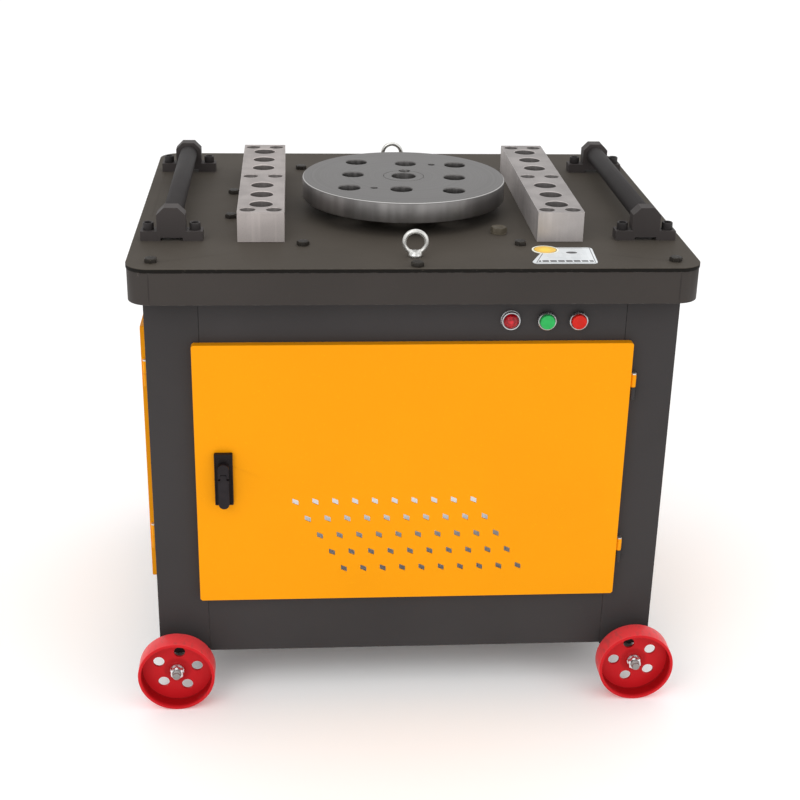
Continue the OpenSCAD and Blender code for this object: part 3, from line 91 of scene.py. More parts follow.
class Value:
    """A number, colour or vector that changes over a surface, so a finish is written as arithmetic."""

    def __init__(self, finish, socket):
        self.finish = finish
        self.socket = socket

    def maths(self, operation, first, second=0.0):
        return self.finish.node("ShaderNodeMath", {"operation": operation}, {0: first, 1: second})

    def __add__(self, other):
        return self.maths("ADD", self, other)

    def __sub__(self, other):
        return self.maths("SUBTRACT", self, other)

    def __rsub__(self, other):
        return self.maths("SUBTRACT", other, self)

    def __mul__(self, other):
        return self.maths("MULTIPLY", self, other)

    __radd__ = __add__
    __rmul__ = __mul__

    def size(self):
        return self.maths("ABSOLUTE", self)

    def least(self, other):
        return self.maths("MINIMUM", self, other)

    def wave(self, length):
        """A sine from -1 to 1 that repeats after that length."""
        return self.maths("SINE", self * (2 * math.pi / length))

    def between(self, low, high):
        """0 below low, 1 above high, and a smooth rise from one to the other."""
        settings = {"interpolation_type": "SMOOTHSTEP"}
        sockets = {"Value": self, "From Min": low, "From Max": high}
        return self.finish.node("ShaderNodeMapRange", settings, sockets)

    def near(self, middle, width, soft=0.0001):
        """1 within half a width of the middle, and 0 outside."""
        return 1 - (self - middle).size().between(width / 2 - soft, width / 2 + soft)


class Finish:
    """The finish of one kind of surface, as a material made of nodes."""

    def __init__(self, name, **constants):
        self.material = bpy.data.materials.new(name)
        self.material.use_nodes = True
        self.nodes = self.material.node_tree.nodes
        self.shader = self.nodes["Principled BSDF"]
        self.place = self.node("ShaderNodeTexCoord", out="Object")
        self.x, self.y, self.z = (self.node("ShaderNodeSeparateXYZ", {}, {0: self.place}, out=axis)
                                  for axis in "XYZ")
        self.give(**constants)

    def node(self, kind, settings=None, sockets=None, out=0):
        """One node of any kind, its settings made first, and its sockets fed with values or links."""
        made = self.nodes.new(kind)
        for key, value in (settings or {}).items():
            setattr(made, key, value)
        for key, value in (sockets or {}).items():
            self.feed(made.inputs[key], value)
        return Value(self, made.outputs[out])

    def feed(self, socket, value):
        if isinstance(value, Value):
            self.material.node_tree.links.new(value.socket, socket)
        else:
            socket.default_value = value

    def give(self, **sockets):
        """Feeds the shader: Base_Color=..., Roughness=..."""
        for key, value in sockets.items():
            self.feed(self.shader.inputs[key.replace("_", " ")], value)

    def noise(self, size, detail=3.0, stretch=(1, 1, 1)):
        """Cloudy noise whose blotches are about as long as size, in metres."""
        scale = [s / size for s in stretch]
        where = self.node("ShaderNodeVectorMath", {"operation": "MULTIPLY"}, {0: self.place, 1: scale})
        return self.node("ShaderNodeTexNoise", {}, {"Vector": where, "Scale": 1.0, "Detail": detail})

    def away(self, middle, stretch):
        """Distance from a place, with each axis stretched; a 0 leaves that axis out."""
        step = self.node("ShaderNodeVectorMath", {"operation": "SUBTRACT"}, {0: self.place, 1: middle})
        flat = self.node("ShaderNodeVectorMath", {"operation": "MULTIPLY"}, {0: step, 1: stretch})
        return self.node("ShaderNodeVectorMath", {"operation": "LENGTH"}, {0: flat}, out="Value")

    def blend(self, first, second, share):
        """A colour on the way from first to second."""
        return self.node("ShaderNodeMix", {"data_type": "RGBA"}, {0: share, 6: first, 7: second}, out=2)

    def edges(self, radius):
        """1 along sharp edges, falling to 0 at about radius from them."""
        rounded = self.node("ShaderNodeBevel", {"samples": 4}, {"Radius": radius})
        true = self.node("ShaderNodeNewGeometry", out="Normal")
        same = self.node("ShaderNodeVectorMath", {"operation": "DOT_PRODUCT"}, {0: rounded, 1: true},
                         out="Value")
        return (1 - same).between(0.01, 0.12)

    def relief(self, height, depth):
        """Bumps of that depth, in metres."""
        bump = self.node("ShaderNodeBump", {}, {"Height": height, "Distance": depth, "Strength": 1.0})
        self.give(Normal=bump)


def colour(red, green, blue, shade=1.0):
    """A screen colour of 0 to 255 a channel, as the shader wants it."""
    channels = [c / 255 for c in (red, green, blue)]
    linear = [c / 12.92 if c < 0.04 else ((c + 0.055) / 1.055) ** 2.4 for c in channels]
    return [min(1.0, c * shade) for c in linear] + [1.0]


floor_finish = Finish("studio_floor", Roughness=0.6, Emission_Color=(1, 1, 1, 1), Emission_Strength=0.075)
floor_tint = floor_finish.blend(colour(248, 248, 248), colour(252, 252, 252), floor_finish.noise(0.8))
floor_finish.give(Base_Color=floor_tint)
floor_mesh = bpy.data.meshes.new("studio_floor")
floor_reach = 14
floor_corners = [(x * floor_reach, y * floor_reach, 0) for x, y in ((-1, -1), (1, -1), (1, 1), (-1, 1))]
floor_mesh.from_pydata(floor_corners, [], [(0, 1, 2, 3)])
floor_mesh.materials.append(floor_finish.material)
floor = bpy.data.objects.new("studio_floor", floor_mesh)
bpy.context.scene.collection.objects.link(floor)


# ---- Table plate and skirt: flame-cut plate over a folded band, sprayed with a dark brown-grey
# paint. It has a faint orange peel and thin spots along its edges. The cut edge is darker, partly
# its own dark flame-cut colour and partly painted shade of the gap under the plate.
def sprayed_paint(name, tone, gloss, worn, bare=(150, 146, 140), cloud=0.05, peel=0.00004, edge_tone=None,
                  shade=0.72, shine=0.12):
    finish = Finish(name, Specular_IOR_Level=shine)
    broad = finish.noise(0.22, 4).between(0.3, 0.7)
    specks = finish.noise(0.004, 2).between(0.64, 0.76)
    chips = (finish.edges(0.0014) * finish.noise(0.012, 4)).between(0.44, 0.62) * worn
    tint = finish.blend(colour(*tone, shade - cloud), colour(*tone, shade + cloud), broad)
    # edge_tone darkens all below a height band. On the table plate this is the cut edge's own dark colour
    # together with painted shade of the gap below it.
    if edge_tone:
        low, high = edge_tone[3]
        tint = finish.blend(colour(*edge_tone[:3]), tint, finish.z.between(low, high))
    tint = finish.blend(tint, colour(*tone, shade * 1.4), specks * 0.25)
    finish.give(Base_Color=finish.blend(tint, colour(*bare), chips))
    finish.give(Metallic=chips * 0.8)
    finish.give(Roughness=gloss + 0.1 * finish.noise(0.06, 3) + specks * 0.08 - chips * 0.1)
    finish.relief(finish.noise(0.0018, 2) + finish.noise(0.02, 2) * 1.5 - chips * 2, peel)
    return finish


def dress(finish, edge, *names, segments=2, angle=40):
    """Gives CAD nodes their finish, and rounds their sharp edges by a hair."""
    for name in names:
        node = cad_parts[name]
        node.data.materials.clear()
        node.data.materials.append(finish.material)
        weld = node.modifiers.new("weld", "WELD")
        weld.merge_threshold = 0.00001
        if edge:
            bevel = node.modifiers.new("rounded_edges", "BEVEL")
            bevel.width = edge
            bevel.segments = segments
            bevel.limit_method = "ANGLE"
            bevel.angle_limit = math.radians(angle)
            bevel.harden_normals = True


table_low, table_high = (Vector(corner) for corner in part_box("table_plate"))
# The plate's cut edge and underside are dark: the flame-cut colour, with painted shade of the gap under the
# plate.
table_paint = sprayed_paint("table_paint", (86, 80, 73), 0.58, 0.25, shine=0.07,
                            edge_tone=(24, 22, 20, (table_high.z - 0.0014, table_high.z - 0.0006)))
skirt_paint = sprayed_paint("skirt_paint", (69, 64, 61), 0.5, 0.3)
dress(table_paint, 0.0012, "table_plate")
dress(skirt_paint, 0.0005, "skirt")


def piece(name, mesh_in_work, finish, body, slot, *replaced, smooth=38):
    """Makes a piece from a bmesh, smooth except at its edges, and lets it ride on a body."""
    bmesh.ops.recalc_face_normals(mesh_in_work, faces=mesh_in_work.faces)
    mesh = bpy.data.meshes.new(name)
    mesh_in_work.to_mesh(mesh)
    mesh_in_work.free()
    mesh.polygons.foreach_set("use_smooth", [True] * len(mesh.polygons))
    mesh.set_sharp_from_angle(angle=math.radians(smooth))
    mesh.materials.append(finish.material)
    made = bpy.data.objects.new(name, mesh)
    bpy.context.scene.collection.objects.link(made)
    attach(made, body)
    if replaced:
        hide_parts(*replaced)
    return made


# ---- Welds of the skirt: the band is bent from two lengths, joined by a ground bead near each
# front and rear corner, and painted over with it.
def bead(work, start, end, width, rise, out, lumps=0.18):
    """Adds a rippled weld bead from start to end, its crown pointing out."""
    run = end - start
    side = run.cross(out).normalized() * width / 2
    count = max(6, int(run.length / (width * 0.45)))
    rows = []
    for i in range(count + 1):
        swell = 1 + lumps * math.sin(i * 2.4)
        taper = min(1.0, 0.35 + 2.5 * min(i, count - i) / count)
        middle = start + run * (i / count)
        rows.append([work.verts.new(middle + side * s * swell * taper + out * rise * h * swell * taper)
                     for s, h in ((-1, -0.3), (-0.7, 0.55), (0, 1), (0.7, 0.55), (1, -0.3))])
    for low, high in zip(rows, rows[1:]):
        for k in range(4):
            work.faces.new((low[k], low[k + 1], high[k + 1], high[k]))
        work.faces.new((low[4], low[0], high[0], high[4]))
    work.faces.new(rows[0])
    work.faces.new(rows[-1])


skirt_low, skirt_high = (Vector(corner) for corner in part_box("skirt"))
seam_in = 0.036
skirt_seams = bmesh.new()
for x in (skirt_low.x + seam_in, skirt_high.x - seam_in):
    for y, out in ((skirt_low.y, -1), (skirt_high.y, 1)):
        bead(skirt_seams, Vector((x, y, skirt_low.z + 0.001)), Vector((x, y, skirt_high.z - 0.001)), 0.0024,
             0.0005, Vector((0, out, 0)))
seam_paint = sprayed_paint("seam_paint", (62, 57, 55), 0.55, 0)
piece("skirt_weld_seams", skirt_seams, seam_paint, "frame", "table_paint")


# ---- Cabinet frame: posts and rails bent from sheet and welded, powder coated dark grey. The hinge
# leaves wear the same coat in front, and the doors' orange at the left side.
frame_paint = sprayed_paint("frame_paint", (67, 64, 64), 0.5, 0.3)
dress(frame_paint, 0.0012, "corner_posts", "frame_rails")
rail_low, rail_high = (Vector(corner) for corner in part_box("front_rail"))
# The front rail's coat is a touch lighter than the posts' coat: painted light, making up for the light the
# rail gets less of.
rail_paint = sprayed_paint("rail_paint", (70, 67, 67), 0.5, 0.3)
rail_colour = Value(rail_paint, rail_paint.shader.inputs["Base Color"].links[0].from_socket)
rail_reach = (rail_paint.x - (rail_low.x + rail_high.x) / 2).size()
rail_half = (rail_high.x - rail_low.x) / 2
rail_joint = rail_reach.between(rail_half - 0.0012, rail_half - 0.0006)
rail_paint.give(Base_Color=rail_paint.blend(rail_colour, colour(30, 28, 28), rail_joint))
dress(rail_paint, 0, "front_rail")
dress(frame_paint, 0.0003, "axle_saddles")

door_tone = (254, 163, 6)
hinge_paint = sprayed_paint("hinge_paint", (65, 62, 62), 0.45, 0.4)
side_hinge_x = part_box("corner_posts")[0][0]
hinge_colour = hinge_paint.shader.inputs["Base Color"].links[0].from_socket
in_front = hinge_paint.x.between(side_hinge_x - 0.002, side_hinge_x - 0.001)
hinge_tint = hinge_paint.blend(colour(*door_tone, 0.8), Value(hinge_paint, hinge_colour), in_front)
hinge_paint.give(Base_Color=hinge_tint)
dress(hinge_paint, 0.0003, "hinge_knuckles")

saddle_low, saddle_high = (Vector(corner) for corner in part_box("axle_saddles"))
saddle_beads = bmesh.new()
saddle_w = 0.036
saddle_l = 0.030
for x in (saddle_low.x + saddle_w / 2, saddle_high.x - saddle_w / 2):
    for y in (saddle_low.y + saddle_l / 2, saddle_high.y - saddle_l / 2):
        for s in (-1, 1):
            bead(saddle_beads, Vector((x - saddle_w / 2, y + s * saddle_l / 2, saddle_high.z - 0.0012)),
                 Vector((x + saddle_w / 2, y + s * saddle_l / 2, saddle_high.z - 0.0012)), 0.004, 0.002,
                 Vector((0, s * 0.8, -0.6)))
piece("saddle_weld_beads", saddle_beads, frame_paint, "frame", "frame_paint")


# ---- Doors and fixed panels: thin sheet trays, powder coated orange-yellow, smooth and half gloss.
door_paint = sprayed_paint("door_paint", door_tone, 0.34, 0.2, (240, 200, 130), cloud=0.015, peel=0.00002,
                           shade=0.84, shine=0.08)
dress(door_paint, 0.0008, "front_door", "side_door", "right_panel", "rear_panel")


# ---- Working disc and spindle: steel turned on a lathe, so its marks run in rings. The rim's
# bevel carries a painted highlight. The side is painted lighter in soft upright bands, a painted
# highlight and reflection, with painted shade towards its right. Sharp edges carry a painted highlight.
def turned_steel(name, middle, tone, top, rim=None):
    finish = Finish(name, Metallic=1.0)
    radius = finish.away(middle, (1, 1, 0))
    marks_a_metre = 1600
    marks = finish.node("ShaderNodeCombineXYZ", {}, {0: radius * marks_a_metre, 1: finish.z * marks_a_metre})
    turning = finish.node("ShaderNodeTexNoise", {"noise_dimensions": "2D"},
                          {"Vector": marks, "Scale": 1.0, "Detail": 2.0})
    stain = finish.noise(0.09, 3).between(0.35, 0.7)
    tint = finish.blend(colour(*tone, 0.92), colour(*tone, 1.06), stain)
    tint = finish.blend(tint, colour(*tone, 0.72), turning.between(0.5, 0.8) * 0.5)
    if rim:
        # The side is painted far lighter than the top, in soft upright bands and streaks: painted highlight
        # and reflection standing in for the turned side's sheen.
        highlight_bands = finish.noise(0.05, 2, stretch=(1, 1, 0)).between(0.4, 0.7)
        highlight_streaks = finish.noise(0.012, 1, stretch=(1, 1, 0)).between(0.4, 0.7)
        side = radius.between(rim - 0.0006, rim - 0.0003) * (1 - finish.z.between(top - 0.003, top - 0.002))
        painted_side_light_and_shade = finish.blend(colour(*tone, 1.5), colour(*tone, 2.35), highlight_bands * 0.8 + highlight_streaks * 0.2)
        # Painted shade over the right part of the side.
        painted_shading = (finish.x - middle.x).between(rim * 0.2, rim * 0.8) * 0.45
        painted_side_light_and_shade = finish.blend(painted_side_light_and_shade, colour(*tone, 0.8), painted_shading)
        tint = finish.blend(tint, painted_side_light_and_shade, side)
        # A painted highlight along the rim's bevel.
        bevel = radius.between(rim - 0.0016, rim - 0.0013) * finish.z.between(top - 0.0018, top - 0.0014)
        tint = finish.blend(tint, colour(190, 189, 187), bevel)
    # Sharp edges are painted lighter: painted highlight.
    finish.give(Base_Color=finish.blend(tint, colour(210, 210, 208), finish.edges(0.0007) * 0.6))
    finish.give(Roughness=0.33 + turning * 0.12 + stain * 0.05)
    finish.relief(turning, 0.000015)
    return finish


disc_low, disc_high = (Vector(corner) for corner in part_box("working_disc"))
disc_middle = (disc_low + disc_high) / 2
disc_radius = (disc_high.x - disc_low.x) / 2
disc_steel = turned_steel("turned_disc_steel", disc_middle, (107, 105, 104), disc_high.z, disc_radius)
dress(disc_steel, 0.0003, "working_disc")
spindle_steel = turned_steel("turned_spindle_steel", disc_middle, (104, 102, 101), disc_high.z)
dress(spindle_steel, 0.0003, "main_shaft", "disc_key")


# ---- Hole blocks: bars of bare steel, milled along each face, with the cutter's fine streaks.
def milled_steel(name, tone, streak=0.6, block=None):
    finish = Finish(name, Metallic=0.85)
    along = finish.noise(0.004, 3, stretch=(3, 0.12, 3))
    upright = finish.noise(0.012, 2, stretch=(1, 1, 0.05))
    grain = finish.noise(0.0014, 2)
    stain = finish.noise(0.05, 3).between(0.35, 0.68)
    tint = finish.blend(colour(*tone, 0.94), colour(*tone, 1.05), stain)
    tint = finish.blend(tint, colour(*tone, 0.66), along.between(0.5, 0.8) * streak)
    tint = finish.blend(tint, colour(*tone, 1.3), upright.between(0.5, 0.72) * 0.4)
    tint = finish.blend(tint, colour(*tone, 1.25), grain.between(0.55, 0.8) * 0.4)
    if block:
        low, high = block
        # The top face is painted darker than the sides: painted shade against the light that falls on top.
        painted_top_shade = finish.z.between(high.z - 0.0006, high.z - 0.0003)
        tint = finish.blend(tint, finish.blend(colour(*tone, 0.56), colour(*tone, 0.68), stain), painted_top_shade)
        middle = (low + high) / 2
        half = (high - low) / 2
        # Inside the holes the steel is painted dark: painted shade, with some oil.
        across = 1 - (finish.x - middle.x).size().between(half.x - 0.002, half.x - 0.001)
        along_it = 1 - (finish.y - middle.y).size().between(half.y - 0.002, half.y - 0.001)
        bore_oil_and_shade = across * along_it * (1 - finish.z.between(high.z - 0.002, high.z - 0.001))
        tint = finish.blend(tint, colour(*tone, 0.3), bore_oil_and_shade)
    finish.give(Base_Color=finish.blend(tint, colour(226, 222, 219), finish.edges(0.001) * 0.5))
    finish.give(Roughness=0.42 + along * 0.2 + grain * 0.08)
    finish.relief(along * 2 + grain, 0.00003)
    return finish


for name, tone in (("left_block", (202, 194, 191)), ("right_block", (194, 188, 186))):
    block_steel = milled_steel(f"{name}_steel", tone, block=[Vector(corner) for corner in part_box(name)])
    dress(block_steel, 0.0006, name)


# ---- Roller brackets and roller bars: milled brackets and round bar, blacked in hot oil.
black_oxide = sprayed_paint("black_oxide", (75, 70, 69), 0.5, 0.4, (118, 116, 114), cloud=0.08)
dress(black_oxide, 0.0010, "roller_brackets")
roller_black = sprayed_paint("roller_black", (56, 53, 53), 0.6, 0.3, (118, 116, 114), cloud=0.06)
dress(roller_black, 0.0008, "left_roller", "right_roller")


# ---- Hexagon bolts through the table: rolled heads with a turned chamfer and a washer face, blacked.
def solids_of(name):
    """The box of each separate solid in a CAD node, as its lowest and highest corners."""
    work = bmesh.new()
    work.from_mesh(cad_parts[name].data)
    bmesh.ops.remove_doubles(work, verts=work.verts, dist=0.00001)
    left = set(work.verts)
    boxes = []
    while left:
        reached = [left.pop()]
        for vert in reached:
            for edge in vert.link_edges:
                other = edge.other_vert(vert)
                if other in left:
                    left.discard(other)
                    reached.append(other)
        low, high = (Vector([pick(vert.co[axis] for vert in reached) for axis in range(3)])
                     for pick in (min, max))
        boxes.append((low, high))
    work.free()
    return sorted(boxes, key=lambda box: tuple(round(c, 4) for c in box[0]))


def turn(work, profile, place, steps=48):
    """Adds a turned solid. A point is (radius, height) or (radius, height, form), where form gives
    the radius at each angle. Place carries it to where it belongs."""
    rings = []
    for radius, height, *form in profile:
        if radius == 0:
            rings.append([work.verts.new(place @ Vector((0, 0, height)))])
            continue
        ring = []
        for k in range(steps):
            angle = 2 * math.pi * k / steps
            reach = form[0](angle, radius) if form else radius
            spot = Vector((reach * math.cos(angle), reach * math.sin(angle), height))
            ring.append(work.verts.new(place @ spot))
        rings.append(ring)
    for low, high in zip(rings, rings[1:]):
        for k in range(steps):
            following = (k + 1) % steps
            if len(low) == 1:
                work.faces.new((low[0], high[following], high[k]))
            elif len(high) == 1:
                work.faces.new((low[k], low[following], high[0]))
            else:
                work.faces.new((low[k], low[following], high[following], high[k]))


def six_sided(flats):
    """A form no wider than a hexagon of that width across its flats."""
    sixth = math.pi / 3
    return lambda angle, radius: min(radius, flats / 2 / math.cos((angle + sixth / 2) % sixth - sixth / 2))


def thread(radius, low, high, pitch):
    """Profile points of a threaded stem from low to high, its ridges as rings."""
    deep = radius - pitch * 0.55
    points = [(0, low), (deep, low), (radius - 0.0001, low + pitch)]
    turns = int((high - low) / pitch) - 2
    for i in range(turns):
        points += [(radius, low + (i + 1.2) * pitch), (deep, low + (i + 1.6) * pitch)]
    return points + [(radius, low + (turns + 1.2) * pitch), (radius, high)]


def hexagon_bolt(work, place, flats, head, radius, length):
    form = six_sided(flats)
    corner = flats / 2 / math.cos(math.pi / 6)
    face = 0.0004
    turn(work, thread(radius, -length, 0, 0.0015) + [
        (flats * 0.47, 0), (flats * 0.47, face), (corner - 0.0002, face, form),
        (corner, face + 0.0003, form), (corner, head * 0.86, form), (flats * 0.475, head),
        (flats * 0.25, head + 0.0001), (0, head)], place)


bolt_head = 0.007
bolt_flats = 0.018
table_top = table_high.z
bolts = bmesh.new()
for number, (low, high) in enumerate(solids_of("table_bolts")):
    spot = Matrix.Translation(((low.x + high.x) / 2, (low.y + high.y) / 2, table_top))
    spot = spot @ Matrix.Rotation(number * 0.9, 4, "Z")
    hexagon_bolt(bolts, spot, bolt_flats, bolt_head, 0.0049, table_top - low.z)
bolt_black = sprayed_paint("bolt_black", (50, 46, 42), 0.42, 0.9, (112, 106, 96), cloud=0.1)
piece("table_hexagon_bolts", bolts, bolt_black, "frame", "dark_steel", "table_bolts")


# ---- Oil filler plug: a hexagon on a round flange, its paint rubbed to bare metal by the spanner.
plug_low, plug_high = (Vector(corner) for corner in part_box("oil_plug"))
plug = bmesh.new()
plug_middle = (plug_low + plug_high) / 2
plug_form = six_sided(0.024)
turn(plug, thread(0.008, plug_low.z - table_top, 0, 0.0015) + [
    (0.0130, 0), (0.0135, 0.0004), (0.0135, 0.0016), (0.0130, 0.002), (0.01386, 0.002, plug_form),
    (0.01386, 0.0094, plug_form), (0.0116, 0.011), (0.0072, 0.011), (0.0064, 0.0104), (0, 0.0103)],
    Matrix.Translation((plug_middle.x, plug_middle.y, table_top)) @ Matrix.Rotation(0.2, 4, "Z"))
plug_paint = sprayed_paint("plug_paint", (92, 85, 73), 0.45, 0.8, (150, 141, 122), cloud=0.2)
piece("oil_filler_plug", plug, plug_paint, "frame", "table_paint", "oil_plug")


# ---- Socket screws: cold-headed, knurled round their heads, blacked. Eight hold the brackets, and
# twelve more sit down in the blocks' counterbores, each with its nut under the table.
def knurled(teeth, depth):
    """A form with that many upright ridges round it."""
    return lambda angle, radius: radius - depth * (0.5 - 0.5 * math.cos(teeth * angle))


def socket_screw(work, place, radius, head, stem, length):
    ridges = knurled(24, radius * 0.035)
    key = six_sided(stem * 0.96 * 1.7321 / 2 * 1.155)
    wide = stem * 0.62
    turn(work, thread(stem / 2 * 0.99, -length, 0, 0.00175) + [
        (radius * 0.94, 0), (radius, head * 0.05, ridges), (radius, head * 0.84, ridges),
        (radius * 0.955, head * 0.95),
        (radius * 0.88, head), (wide, head), (wide * 0.96, head * 0.96, key), (wide * 0.96, head * 0.5, key),
        (wide * 0.5, head * 0.46), (0, head * 0.4)], place, steps=96)


cap_screws = bmesh.new()
foot_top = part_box("bracket_screws")[1][2] - 0.012
for number, (low, high) in enumerate(solids_of("bracket_screws")):
    spot = Matrix.Translation(((low.x + high.x) / 2, (low.y + high.y) / 2, foot_top))
    spot = spot @ Matrix.Rotation(number * 0.7, 4, "Z")
    socket_screw(cap_screws, spot, 0.009, 0.012, 0.012, foot_top - low.z)
screw_black = sprayed_paint("screw_black", (62, 59, 59), 0.42, 0.6, (116, 113, 110), cloud=0.1)
piece("bracket_cap_screws", cap_screws, screw_black, "frame", "dark_steel", "bracket_screws")


def hexagon_nut(work, place, flats, height, bore, steps=48):
    """A nut from z = 0 up, its corners turned down at both ends and its bore bevelled."""
    form = six_sided(flats)
    corner = flats / 2 / math.cos(math.pi / 6)
    turn(work, [(bore, 0.0008), (bore + 0.0008, 0), (flats * 0.475, 0), (corner, height * 0.12, form),
                (corner, height * 0.88, form), (flats * 0.475, height), (bore + 0.0008, height),
                (bore, height - 0.0008), (bore, 0.0008)], place, steps)


block_caps = bmesh.new()
seat_h = 0.026
for number, (low, high) in enumerate(solids_of("block_screws")):
    spot = Matrix.Translation(((low.x + high.x) / 2, (low.y + high.y) / 2, low.z))
    spot = spot @ Matrix.Rotation(number, 4, "Z")
    if high.z < table_low.z + 0.001:
        hexagon_nut(block_caps, spot, 0.024, high.z - low.z, 0.0081)
    else:
        stem = table_top + seat_h - low.z
        socket_screw(block_caps, spot @ Matrix.Translation((0, 0, stem)), 0.012, 0.016, 0.016, stem)
piece("block_cap_screws", block_caps, screw_black, "frame", "dark_steel", "block_screws")


# ---- Panel screws: button heads with a hexagon socket, blacked, screwed through the panels.
def button_screw(work, place, length):
    key = six_sided(0.004)
    turn(work, thread(0.003, -length, 0, 0.001) + [
        (0.0059, 0), (0.006, 0.0006), (0.0056, 0.0018), (0.0046, 0.0026), (0.0034, 0.003), (0.0026, 0.003),
        (0.00231, 0.0028, key), (0.00231, 0.0014, key), (0, 0.0011)], place, steps=48)


panel_caps = bmesh.new()
rear_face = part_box("rear_panel")[1][1]
right_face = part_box("right_panel")[1][0]
for low, high in solids_of("panel_screws"):
    middle = (low + high) / 2
    if high.y - low.y > high.x - low.x:
        spot = Matrix.Translation((middle.x, rear_face, middle.z)) @ Matrix.Rotation(-math.pi / 2, 4, "X")
        button_screw(panel_caps, spot, rear_face - low.y)
    else:
        spot = Matrix.Translation((right_face, middle.y, middle.z)) @ Matrix.Rotation(math.pi / 2, 4, "Y")
        button_screw(panel_caps, spot, right_face - low.x)
piece("panel_button_screws", panel_caps, screw_black, "frame", "dark_steel", "panel_screws")


# ---- Lifting eyes: drop-forged in one with their collar and stem, zinc plated, with a nut below.
# The ring flows into the collar, so the solids are fused and smoothed into one skin.
def bright_zinc(name, tone, rough):
    finish = Finish(name, Metallic=0.9)
    cloud = finish.noise(0.012, 3).between(0.35, 0.65)
    dull = finish.noise(0.0035, 2).between(0.5, 0.75)
    tint = finish.blend(colour(*tone, 0.9), colour(*tone, 1.08), cloud)
    finish.give(Base_Color=finish.blend(tint, colour(*tone, 0.62), dull * 0.5))
    finish.give(Roughness=rough + cloud * 0.1 + dull * 0.1)
    finish.relief(finish.noise(0.003, 2), 0.00002)
    return finish


zinc = bright_zinc("bright_zinc", (214, 213, 209), 0.26)
dress(zinc, 0.0003, "hinge_pins")


def fused(work, voxel, rounds):
    """The solids of a bmesh as one smooth skin."""
    mesh = bpy.data.meshes.new("rough_shape")
    work.to_mesh(mesh)
    work.free()
    rough = bpy.data.objects.new("rough_shape", mesh)
    bpy.context.scene.collection.objects.link(rough)
    remesh = rough.modifiers.new("fuse", "REMESH")
    remesh.mode = "VOXEL"
    remesh.voxel_size = voxel
    smooth = rough.modifiers.new("smooth", "SMOOTH")
    smooth.factor = 0.5
    smooth.iterations = rounds
    ready = rough.evaluated_get(bpy.context.evaluated_depsgraph_get())
    skin = bmesh.new()
    skin.from_mesh(ready.to_mesh())
    ready.to_mesh_clear()
    bpy.data.objects.remove(rough)
    bpy.data.meshes.remove(mesh)
    return skin


eye_boxes = [box for box in solids_of("lifting_eyes") if box[1].z > table_top]
ring_out = (eye_boxes[0][1].x - eye_boxes[0][0].x) / 2
wire = 0.00375
ring_z = eye_boxes[0][1].z - ring_out
for label, (low, high) in zip(("front", "rear"), sorted(eye_boxes, key=lambda box: box[0].y)):
    eye = bmesh.new()
    middle = Vector(((low.x + high.x) / 2, (low.y + high.y) / 2, 0))
    upright = Matrix.Translation(middle + Vector((0, 0, ring_z))) @ Matrix.Rotation(math.pi / 2, 4, "X")
    around = 16
    turns = [2 * math.pi * k / around for k in range(around + 1)]
    hoop = [(ring_out - wire - wire * math.cos(angle), wire * math.sin(angle)) for angle in turns]
    turn(eye, hoop, upright, steps=72)
    on_table = Matrix.Translation(middle + Vector((0, 0, table_top)))
    turn(eye, [(0, 0.0002), (0.011, 0.0002), (0.0112, 0.003), (0.0100, 0.0058), (0.0085, 0.0075),
               (0.0080, 0.0088), (0, 0.0088)], on_table)
    for side in (-1, 1):
        lean = upright @ Matrix.Rotation(side * math.radians(24), 4, "Z")
        lean = lean @ Matrix.Translation((0, -ring_out + wire, 0))
        turn(eye, [(0, -0.0042), (0.0034, -0.0036), (0.0046, 0), (0.0034, 0.0036), (0, 0.0042)], lean,
             steps=24)
    skin = fused(eye, 0.0006, 6)
    turn(skin, thread(0.0049, low.z - table_top, 0.001, 0.0015) + [(0, 0.001)], on_table)
    nut_top = table_low.z - table_top - (0.0046 if label == "front" else 0)
    hexagon_nut(skin, on_table @ Matrix.Translation((0, 0, nut_top - 0.008)), 0.018, 0.008, 0.0051)
    replaced = ("lifting_eyes",) if label == "front" else ()
    piece(f"{label}_lifting_eye", skin, zinc, "frame", "zinc", *replaced)


# ---- Lamp and push buttons: chromed bezels screwed through the rail onto threaded sleeves, each
# with a black contact block behind. The lamp has a faceted red lens, the buttons dished caps.
def control_back(work, place):
    """Sleeve, lock nut and rear face of a control, from its rail's outer face back."""
    turn(work, thread(0.011, -0.034, 0, 0.0015) + [(0, 0)], place)
    hexagon_nut(work, place @ Matrix.Translation((0, 0, -0.008)), 0.028, 0.004, 0.0111)


chrome = bright_zinc("control_chrome", (188, 188, 190), 0.16)
bezel_depth = 0.007
rail_face = Vector(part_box("lamp_bezel")[0]).y + bezel_depth
controls_z = (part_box("start_cap")[0][2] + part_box("start_cap")[1][2]) / 2
outwards = Matrix.Rotation(math.pi / 2, 4, "X")
lamp_x = (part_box("lamp_lens")[0][0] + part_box("lamp_lens")[1][0]) / 2
lamp_place = Matrix.Translation((lamp_x, rail_face, controls_z)) @ outwards
bezel = bmesh.new()
grip = knurled(30, 0.0009)
turn(bezel, [(0, 0.001), (0.0123, 0.001), (0.0123, 0.0060), (0.0131, bezel_depth), (0.0146, bezel_depth),
             (0.0159, 0.0058, grip), (0.0159, 0.0014, grip), (0.0152, 0.0006), (0.0160, 0.0004),
             (0.0160, 0), (0, 0)], lamp_place, steps=120)
control_back(bezel, lamp_place)
piece("lamp_chrome_bezel", bezel, chrome, "frame", "zinc", "lamp_bezel")

twelve = math.pi / 6


def facet(angle, radius):
    """The form of the lens: twelve flats round it, their corners at the radius."""
    return radius * math.cos(twelve / 2) / math.cos((angle + twelve / 2) % twelve - twelve / 2)


